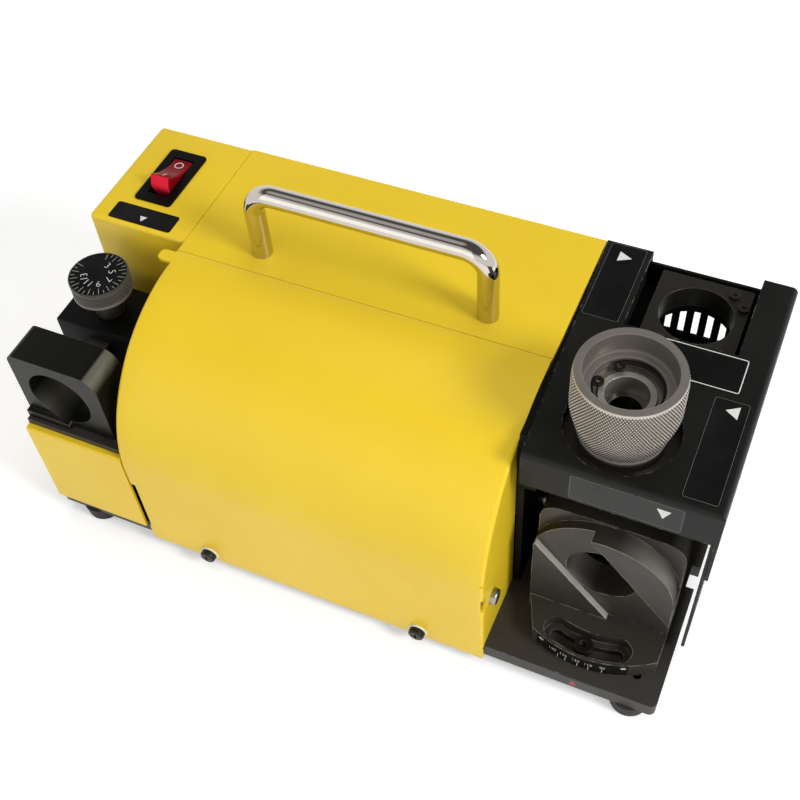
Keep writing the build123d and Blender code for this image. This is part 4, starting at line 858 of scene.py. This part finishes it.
# %% The rod
handle_low, handle_high = box_mm("carry_handle")
rod = (handle_high[1] - handle_low[1]) / 2
rod_y = centre_mm("carry_handle")[1]
leg_left, leg_right = handle_low[0] + rod, handle_high[0] - rod
bar_z, bend = handle_high[2] - rod, 11.0
bend_turn = np.linspace(0, math.pi / 2, 19)
left_x, left_z = leg_left + bend * (1 - np.cos(bend_turn)), bar_z - bend * (1 - np.sin(bend_turn))
right_x = (leg_left + leg_right - left_x)[::-1]
leg_z = [handle_low[2], bar_z - bend - 1]
path_x = np.concatenate([[leg_left, leg_left], left_x, right_x, [leg_right, leg_right]])
path_z = np.concatenate([leg_z, left_z, left_z[::-1], leg_z[::-1]])
way_x, way_z = np.gradient(path_x), np.gradient(path_z)
speed = np.hypot(way_x, way_z)
across_x, across_z = -way_z / speed, way_x / speed
sides = 40
around = full_turn(sides)
rod_points = np.stack([path_x[:, None] + rod * np.cos(around) * across_x[:, None],
                       rod_y + rod * np.sin(around) * np.ones_like(path_x)[:, None],
                       path_z[:, None] + rod * np.cos(around) * across_z[:, None]], axis=-1).reshape(-1, 3)
rod_faces = quads(len(path_x), sides, wrap_columns=True).tolist()
rod_faces += [list(range(sides)), list(range(len(rod_points) - sides, len(rod_points)))]
new_piece("handle_rod", (rod_points, rod_faces), "chrome", "machine", "carry_handle")
print("handle rod radius", round(rod, 2), "bar at z", round(bar_z, 1))

# %% [markdown]
# ## Knurled grips
# A knurl is rolled in: two sets of grooves cross, one left-handed and one right-handed, and leave rows of
# little pyramids. Each set is a triangle wave of (turns x starts +/- height / pitch), and the surface is the
# lower of the two. It is real geometry, four points to a pitch, because its glitter is what makes a grip.
# On such a grid the ridges lie along grid lines and the grooves along diagonals, so each quad is cut in two
# along its deeper diagonal.


# %% The knurl
def knurl(angle, height, starts, pitch, depth, low, high):
    """Depth of the cut: depth x (1 - min of two triangle waves), faded out within a pitch of both ends."""
    turns = angle / (2 * math.pi) * starts
    climb = (height - low) / pitch
    wave_a = 1 - np.abs(2 * np.mod(turns[None, :] + climb[:, None], 1) - 1)
    wave_b = 1 - np.abs(2 * np.mod(turns[None, :] - climb[:, None], 1) - 1)
    ends = np.clip(np.minimum(height - low, high - height) / pitch, 0, 1)[:, None]
    return depth * ends * (1 - np.minimum(wave_a, wave_b))


def grip(outer_z, outer_radius, inner, band, starts, pitch, depth, axis):
    """A lathe shape: an outer line from foot to rim, knurled in a band of heights, and an inner line."""
    profile = np.concatenate([np.c_[outer_radius, outer_z], inner])
    columns = starts * 4
    cut = knurl(full_turn(columns), profile[:, 1], starts, pitch, depth, *band)
    cut = cut * (np.arange(len(profile)) < len(outer_z))[:, None]
    points, faces = lathe(profile, axis, columns, cut)
    face, sunk = np.array(faces), cut.ravel()
    deeper = sunk[face[:, 0]] + sunk[face[:, 2]] >= sunk[face[:, 1]] + sunk[face[:, 3]]
    first = np.where(deeper[:, None], face[:, [0, 1, 2]], face[:, [1, 2, 3]])
    second = np.where(deeper[:, None], face[:, [0, 2, 3]], face[:, [1, 3, 0]])
    return points, np.concatenate([first, second]).tolist()


def store_cut(piece, line_z, line_radius, depth, axis, band, plain):
    """Keep how deep each point was cut, 0 to 1, as an attribute: (outer line's radius - own radius) / depth.

    Faces outside the band get a plain middle value, so they take a tone between the tops and the cuts.
    """
    x, y, z = points_of(piece.data).T / MM
    sunk = (np.interp(z, line_z, line_radius) - np.hypot(x - axis[0], y - axis[1])) / depth
    kept = piece.data.attributes.new("cut", "FLOAT", "POINT")
    rolled = (sunk < 1.05) & (z > band[0]) & (z < band[1])
    kept.data.foreach_set("value", np.where(rolled, np.clip(sunk, 0, 1), plain).astype(np.float32))


print("knurl ready")

# %% [markdown]
# ### The chuck's sleeve
# Turned from bar: a narrow plain rim that leans in, a straight grip, and a taper down to the deck; inside a
# mouth, a step with a groove for the circlip, and a web that the draw tube passes through. The outer line is
# drawn with straight runs, and a running mean over a few millimetres rolls its corners round.

# %% The sleeve's outer line
sleeve_low, sleeve_high = box_mm("chuck_sleeve")
sleeve_radius = (sleeve_high[0] - sleeve_low[0]) / 2
rim_z, foot_z = sleeve_high[2], sleeve_low[2]
sleeve_starts, sleeve_pitch, sleeve_depth = 106, 2.1, 0.42
sleeve_band = (foot_z + sleeve_pitch, foot_z + sleeve_pitch + 16.75 * sleeve_pitch)
run_z = np.arange(sleeve_band[0] - sleeve_pitch, rim_z, sleeve_pitch / 4)
taper, taper_radius, rim_lean, rim_radius, rounding = 17.0, 17.8, 1.6, 21.2, 1.8
corner_z = [foot_z, foot_z + taper, rim_z - rim_lean, rim_z]
corner_radius = [taper_radius, sleeve_radius, sleeve_radius, rim_radius]
around_z = run_z[:, None] + np.linspace(-rounding, rounding, 21)[None, :]
run_radius = np.interp(around_z, corner_z, corner_radius).mean(axis=1)
print("sleeve radius", round(sleeve_radius, 2), "rows", len(run_z))

# %% The sleeve
ledge_z, floor_z, web_z = rim_z - 9.6, rim_z - 15.4, rim_z - 23.4
groove_low, groove_high = floor_z + 2.97, floor_z + 4.3
lip, mouth, step, groove, web, skirt, heel = 20.6, 18.2, 14.4, 15.0, 11.7, 14.3, 17.6
inside = [(lip, rim_z), (mouth, rim_z), (mouth, ledge_z), (step, ledge_z), (step, groove_high),
          (groove, groove_high), (groove, groove_low), (step, groove_low), (step, floor_z), (web, floor_z),
          (web, web_z), (skirt, web_z), (skirt, foot_z), (heel, foot_z)]
inside_round = [0.1, 0.5, 1.6, 0.5, 0.1, 0.1, 0.1, 0.1, 0.3, 0.3, 0.3, 0.3, 0.4, 0.1]
shape = grip(run_z, run_radius, rounded(inside, inside_round), sleeve_band, sleeve_starts, sleeve_pitch,
             sleeve_depth, chuck_axis)
sleeve = new_piece("sleeve_grip", shape, "nickel_steel", "chuck_nut", "chuck_sleeve", 25.0)
store_cut(sleeve, run_z, run_radius, sleeve_depth, chuck_axis, sleeve_band, 0.64)
print("sleeve triangles:", len(shape[1]))

# %% [markdown]
# ### The dial
# A black knob with the same knurl, finer. Its face carries the drill sizes; the numbers and ticks are print,
# a few hundredths of a millimetre thick, and turn with it.

# %% The knob's outer line
dial_low, dial_high = box_mm("dial_knob")
dial_radius = (dial_high[0] - dial_low[0]) / 2
face_z, neck_z = dial_high[2], dial_low[2]
skirt_z = face_z - 10.0
dial_starts, dial_pitch, dial_depth = 72, 1.7, 0.4
dial_band = (skirt_z + 0.8, skirt_z + 0.8 + 5.0 * dial_pitch)
edge_round = 0.5
side_z = np.concatenate([[skirt_z, skirt_z + 0.2, skirt_z + edge_round],
                         np.arange(*dial_band, dial_pitch / 4), [face_z - edge_round, face_z - 0.2, face_z]])
past = np.clip(np.maximum(skirt_z + edge_round - side_z, side_z - face_z + edge_round), 0, edge_round)
side_radius = dial_radius - edge_round + np.sqrt(edge_round**2 - past**2)
print("dial radius", round(dial_radius, 2), "rows", len(side_z))

# %% The knob and its face
hub_z = face_z - 4.0
eye, bore, neck = 0.4, 3.5, 7.0
dial_inside = [(eye, face_z), (eye, hub_z), (bore, hub_z), (bore, neck_z), (neck, neck_z), (neck, skirt_z)]
shape = grip(side_z, side_radius, rounded(dial_inside, [0.1, 0.1, 0.3, 0.3, 0.4, 0.5]), dial_band,
             dial_starts, dial_pitch, dial_depth, dial_axis)
knob = new_piece("dial_grip", shape, "anodised_black", "dial", "dial_knob", 25.0)
store_cut(knob, side_z, side_radius, dial_depth, dial_axis, dial_band, 0.66)
disc_radius, disc_turn = 13.35, full_turn(96)
disc = np.c_[dial_axis[0] + disc_radius * np.cos(disc_turn), dial_axis[1] + disc_radius * np.sin(disc_turn)]
new_piece("dial_face", slab(disc, face_z - 0.02, face_z + 0.06), "label_film", "dial")
print("dial triangles:", len(shape[1]))

# %% [markdown]
# ### Print
# Numbers start as text objects, which Blender turns into meshes. Their flat points are then laid on a
# surface by a function: turned about the dial's axis, or wrapped round the scale's arc.


# %% Text as arrays
def lettering(text, height):
    """The shape of a line of text, centred, its digits of a height in mm, extruded by 0.04 mm."""
    curve = bpy.data.curves.new("lettering", "FONT")
    curve.body = text
    curve.align_x = "CENTER"
    curve.align_y = "CENTER"
    curve.extrude = 0.02 / height
    curve.offset = -0.018
    curve.resolution_u = 4
    carrier = bpy.data.objects.new("lettering", curve)
    bpy.context.scene.collection.objects.link(carrier)
    mesh = bpy.data.meshes.new_from_object(carrier.evaluated_get(bpy.context.evaluated_depsgraph_get()))
    points = points_of(mesh)
    faces = [list(face.vertices) for face in mesh.polygons]
    bpy.data.objects.remove(carrier)
    bpy.data.curves.remove(curve)
    bpy.data.meshes.remove(mesh)
    low, high = points[:, :2].min(axis=0), points[:, :2].max(axis=0)
    scale = height / (high - low)[1]
    return np.c_[(points[:, :2] - (high + low) / 2) * scale, points[:, 2] * height], faces


print("a numeral has", len(lettering("3", 3.3)[0]), "points")


# %% The dial's numbers and ticks
def about_dial(points, size, radius):
    """Lay flat (x, y) points at a radius from the dial's axis, tops outwards, where a drill size stands."""
    turn = (size - sizes[0]) * per_size + first_turn
    x, y = points[:, 0], points[:, 1] + radius
    return np.c_[dial_axis[0] + x * math.cos(turn) + y * math.sin(turn),
                 dial_axis[1] - x * math.sin(turn) + y * math.cos(turn), face_z + print_rise + points[:, 2]]


per_size, first_turn = math.radians(22.5), math.radians(11.25)
sizes = np.arange(3, 14, 2)
number_height, number_radius, print_rise = 3.3, 6.5, 0.07
half, long_tick, short_tick, tick_end = 0.11, 9.5, 11.2, 13.0
numerals = [laid(lettering(str(size), number_height), about_dial, size, number_radius) for size in sizes]
ticks = []
for size in np.arange(2, 15.1, 0.5):
    start = long_tick if size == round(size) else short_tick
    tick = [(-half, start), (half, start), (half, tick_end), (-half, tick_end)]
    ticks.append(laid(slab(tick, -0.02, 0.02), about_dial, size, 0.0))
new_piece("dial_numbers", several(numerals), "print_white", "dial")
new_piece("dial_ticks", several(ticks), "print_pale", "dial")
print("dial numerals:", len(numerals), "ticks:", len(ticks))

# %% [markdown]
# ## The rocker
# A red translucent rocker stands tipped to its off side. Its side view is an outline with a hollow top,
# carried straight across its width; a Bevel modifier rounds the moulded edges. The ring and the bar are
# printed on the hollow, so they follow its curve.

# %% The rocker's own frame
pivot_depth = 2.5
rocker_x = centre_mm("rocker")[0]
pivot_y, pivot_z = centre_mm("switch_bezel")[1], box_mm("switch_bezel")[1][2] - pivot_depth
tip_turn = math.radians(20)
half_length, half_width, dish = 11.0, 5.0, 2.0
tip_z = (pivot_depth + half_length * math.sin(tip_turn)) / math.cos(tip_turn)
dish_radius = (half_length**2 + dish**2) / (2 * dish)


def hollow(y):
    """Height of the hollow top: a circle through both tips, a dish deep in the middle."""
    return tip_z - dish + dish_radius - np.sqrt(dish_radius**2 - y**2)


def tipped(x, y, z):
    """Points of the rocker's own frame, tipped about its pivot."""
    return np.stack([rocker_x + x, pivot_y + y * math.cos(tip_turn) + z * math.sin(tip_turn),
                     pivot_z - y * math.sin(tip_turn) + z * math.cos(tip_turn)], axis=-1)


print("rocker tip", round(tip_z, 2), "mm above its pivot")

# %% The cap
top_line = np.linspace(-half_length, half_length, 25)
heel_y, heel_z, shoulder_z = 5.5, -8.0, 0.5
cap_y = np.concatenate([top_line, [half_length, heel_y, -heel_y, -half_length]])
cap_z = np.concatenate([hollow(top_line), [shoulder_z, heel_z, heel_z, shoulder_z]])
flat, faces = slab(np.c_[cap_y, cap_z], -half_width, half_width)
shape = (tipped(flat[:, 2], flat[:, 0], flat[:, 1]), faces)
bevel(new_piece("rocker_cap", shape, "red_plastic", "rocker", "rocker", 30.0), "moulded_edges", 0.7, 3, 32)
print("cap points:", len(flat))

# %% The ring and the bar
ring_at, ring_turn = 6.6, full_turn(48)
ring_loop = np.array([(2.3, 0.0), (2.3, 0.05), (1.85, 0.05), (1.85, 0.0)])
ring_x = (ring_loop[:, :1] * np.cos(ring_turn)).ravel()
ring_y = (ring_loop[:, :1] * np.sin(ring_turn)).ravel() + ring_at
ring_z = hollow(ring_y) + np.repeat(ring_loop[:, 1], len(ring_turn)) + 0.01
ring_shape = (tipped(ring_x, ring_y, ring_z), quads(len(ring_loop), len(ring_turn), True, True).tolist())
bar_outline = [(-0.28, -8.4), (0.28, -8.4), (0.28, -6.4), (0.28, -4.4), (-0.28, -4.4), (-0.28, -6.4)]
flat, faces = slab(bar_outline, 0.01, 0.06)
bar_shape = (tipped(flat[:, 0], flat[:, 1], hollow(flat[:, 1]) + flat[:, 2]), faces)
new_piece("rocker_marks", several([ring_shape, bar_shape]), "print_white", "rocker")
print("ring of", len(ring_turn), "steps")

# %% [markdown]
# ## Plates on the deck and the switch box
# Glossy black film plates say where each drill goes. Here they stay without words: a rounded plate, a thin
# printed outline, and an arrow that points at its seat. All of them are flat outlines, raised by a tenth of
# a millimetre and laid on the face that carries them.


# %% Flat outlines
def oblong(x0, x1, y0, y1):
    """The four corners of an upright rectangle."""
    return np.array([(x0, y0), (x1, y0), (x1, y1), (x0, y1)], dtype=float)


def outline(corners, radius, inset, width, low, high):
    """A printed line: the loops of two rounded oblongs, one inside the other, joined as a flat ring."""
    inwards = np.sign(corners.mean(axis=0) - corners)
    outer = rounded(corners + inwards * inset, radius, 6)
    inner = rounded(corners + inwards * (inset + width), max(radius - width, 0.2), 6)
    levels = [(outer, low), (outer, high), (inner, high), (inner, low)]
    points = np.concatenate([np.c_[loop, np.full(len(loop), level)] for loop, level in levels])
    return points, quads(4, len(outer), True, True).tolist()


def on_top(points):
    """Flat (x, y) points with a height, laid on the level of the deck and the boxes."""
    return np.c_[points[:, 0], points[:, 1], top_z + points[:, 2]]


def on_skirt(points):
    """Flat (x, z) points with a height, stood against the front of the deck."""
    return np.c_[points[:, 0], deck_low[1] - points[:, 2], points[:, 1]]


print("corners of an oblong:", oblong(0, 2, 0, 1).tolist())

# %% The plates
# Each row: the plate's sides, the corners of its arrow, the width of its printed line, the face it lies on.
film, ink = (-0.04, 0.08), (0.06, 0.11)
plate_round, line_round, line_inset = 1.6, 1.3, 0.35
plates = [
    (oblong(76.9, 93.8, 28.6, 74.6), [(82.2, 70.0), (82.2, 63.9), (88.2, 67.0)], 0.14, on_top),
    (oblong(100.0, 150.4, 8.9, 28.2), None, 0.42, on_top),
    (oblong(141.4, 156.2, -46.4, 5.5), [(152.4, 3.0), (147.0, -0.3), (152.4, -3.6)], 0.14, on_top),
    (oblong(99.0, 145.2, 116.4, 132.4), [(134.2, 128.5), (140.0, 128.5), (137.1, 122.6)], 0.14, on_skirt),
    (oblong(-150.6, -116.5, 8.2, 19.3), [(-135.3, 13.7), (-131.5, 13.7), (-133.4, 10.4)], 0.0, on_top),
]
films, thin_lines, white_lines = [], [], []
for corners, arrow, line, lay in plates:
    films.append(laid(slab(rounded(corners, plate_round, 6), *film), lay))
    if line:
        lines = white_lines if arrow is None else thin_lines
        lines.append(laid(outline(corners, line_round, line_inset, line, *ink), lay))
    if arrow:
        white_lines.append(laid(slab(arrow, *ink), lay))
new_piece("plate_films", several(films), "label_film", "machine")
new_piece("plate_outlines", several(thin_lines), "print_grey", "machine")
new_piece("plate_arrows", several(white_lines), "print_white", "machine")
print("plates:", len(films), "arrows and lines:", len(white_lines) + len(thin_lines))

# %% [markdown]
# ## The angle scale
# A black strip is riveted round the foot of the swivel seat, with the point angles on it, and a red mark on
# the base shows which one is set. The strip and its print are flat shapes of (length along the arc, height)
# wrapped round the pivot: x = px + r sin a, y = py - r cos a, with a = length / radius.

# %% Wrap round the foot
seat_low = box_mm("swivel_seat")[0]
pin_x, pin_y = centre_mm("pivot_pin")[:2]
foot_radius = pin_y - seat_low[1]
degree = math.radians(1) * foot_radius


def wrapped(points, along=0.0, height=0.0, rise=0.0):
    """Flat points (length, height, rise), moved on and wrapped round the pivot at the foot's radius."""
    points = points + [along, height, rise]
    turn = points[:, 0] / foot_radius
    radius = foot_radius + points[:, 2]
    return np.c_[pin_x + radius * np.sin(turn), pin_y - radius * np.cos(turn), seat_low[2] + points[:, 1]]


def strip(x0, x1, z0, z1, low, high, steps=40):
    """A thin bar along the arc: a four-point section carried through the steps, capped at both ends."""
    section = np.array([(z0, low), (z0, high), (z1, high), (z1, low)])
    along = np.repeat(np.linspace(x0, x1, steps), 4)
    points = np.c_[along, np.tile(section, (steps, 1))]
    caps = [[0, 1, 2, 3], list(range(4 * steps - 4, 4 * steps))]
    return points, quads(steps, 4, wrap_columns=True).tolist() + caps


print("one degree on the foot is", round(degree, 3), "mm")

# %% The strip, its numbers and rivets
# Where each number and its tick stand is given in degrees from the middle of the foot.
band = strip(-24.2 * degree, 22.6 * degree, 0.6, 9.4, -0.05, 0.1)
new_piece("scale_band", laid(band, wrapped), "label_film", "seat")
scale_numbers = {"140": (-14.6, -11.6), "135": (-8.6, -7.6), "130": (-2.2, -1.4), "118": (4.0, 4.0),
                 "90": (10.6, 10.6)}
angle_height, number_z, number_rise, rivet_z = 1.75, 5.6, 0.12, 7.4
tick_half, tick_low, tick_high, tick_ink = 0.13, 1.0, 3.9, (0.09, 0.14)
scale_print = []
for number, (number_at, tick_at) in scale_numbers.items():
    numeral = lettering(number, angle_height)
    scale_print.append(laid(numeral, wrapped, number_at * degree, number_z, number_rise))
    tick_from, tick_to = tick_at * degree - tick_half, tick_at * degree + tick_half
    scale_print.append(laid(strip(tick_from, tick_to, tick_low, tick_high, *tick_ink, steps=2), wrapped))
new_piece("scale_marks", several(scale_print), "print_white", "seat")
oval_turn = full_turn(28)
oval = slab(np.c_[1.25 * np.cos(oval_turn), 0.75 * np.sin(oval_turn)], 0.05, 0.3)
rivets = [laid(oval, wrapped, rivet_at * degree, rivet_z) for rivet_at in (-21.4, 20.3)]
new_piece("scale_rivets", several(rivets), "ground_steel", "seat")
print("scale of", len(scale_numbers), "angles on a radius of", round(foot_radius, 1), "mm")

# %% [markdown]
# ### Painted light on the groove's wall
# The wall of the seat's groove locates the chuck; a lighter ground-steel strip on it stands in for light
# falling
# on that wall: painted light. It is a flat strip laid on that wall: the groove leans by an angle t, so
# x = wx + d cos t - s sin t and z = wz + d sin t + s cos t, with s along the wall and d across the groove.

# %% The land
wheel_x, wheel_z = 117.0, centre_mm("wheel_body")[2]
lean_turn, wall_at = math.radians(39.0), -16.0
groove_front, land_half = pin_y - 28.7, 28.2


def on_wall(points):
    """Flat (s, y) points with a height, laid on the wall of the groove."""
    along, across = points[:, 0], wall_at + points[:, 2]
    return np.c_[wheel_x + across * math.cos(lean_turn) - along * math.sin(lean_turn), points[:, 1],
                 wheel_z + across * math.sin(lean_turn) + along * math.cos(lean_turn)]


# A lighter strip on the wall: painted light.
land = slab(oblong(-land_half, land_half, groove_front - 2.9, groove_front - 0.1), 0.0, 0.06)
new_piece("groove_lit_land", laid(land, on_wall), "ground_steel", "seat")
print("land on a wheel axis at z", round(wheel_z, 2))

# %% [markdown]
# ### The mark on the base
# A small film with a red arrow is stuck to the base's front edge, under the scale. It is made as the plates
# are, and stood against that edge.

# %% The mark
base_low, base_high = box_mm("base_plate")
mark_x, mark_z = pin_x - 1.0, centre_mm("base_plate")[2]


def on_base(points):
    """Flat (x, z) points about the mark, stood against the front edge of the base."""
    return np.c_[mark_x + points[:, 0], base_low[1] - points[:, 2], mark_z + points[:, 1]]


film_wide, film_high = 12.4, (base_high[2] - base_low[2]) / 2 - 0.7
mark_film = slab(rounded(oblong(-film_wide, film_wide, -film_high, film_high), 0.4, 3), *film)
mark_arrow = slab([(-1.9, -2.4), (1.9, -2.4), (0.0, 2.2)], *ink)
new_piece("mark_film", laid(mark_film, on_base), "label_film", "machine")
new_piece("mark_arrow", laid(mark_arrow, on_base), "print_red", "machine")
print("mark at x", round(mark_x, 1), "z", round(mark_z, 1))
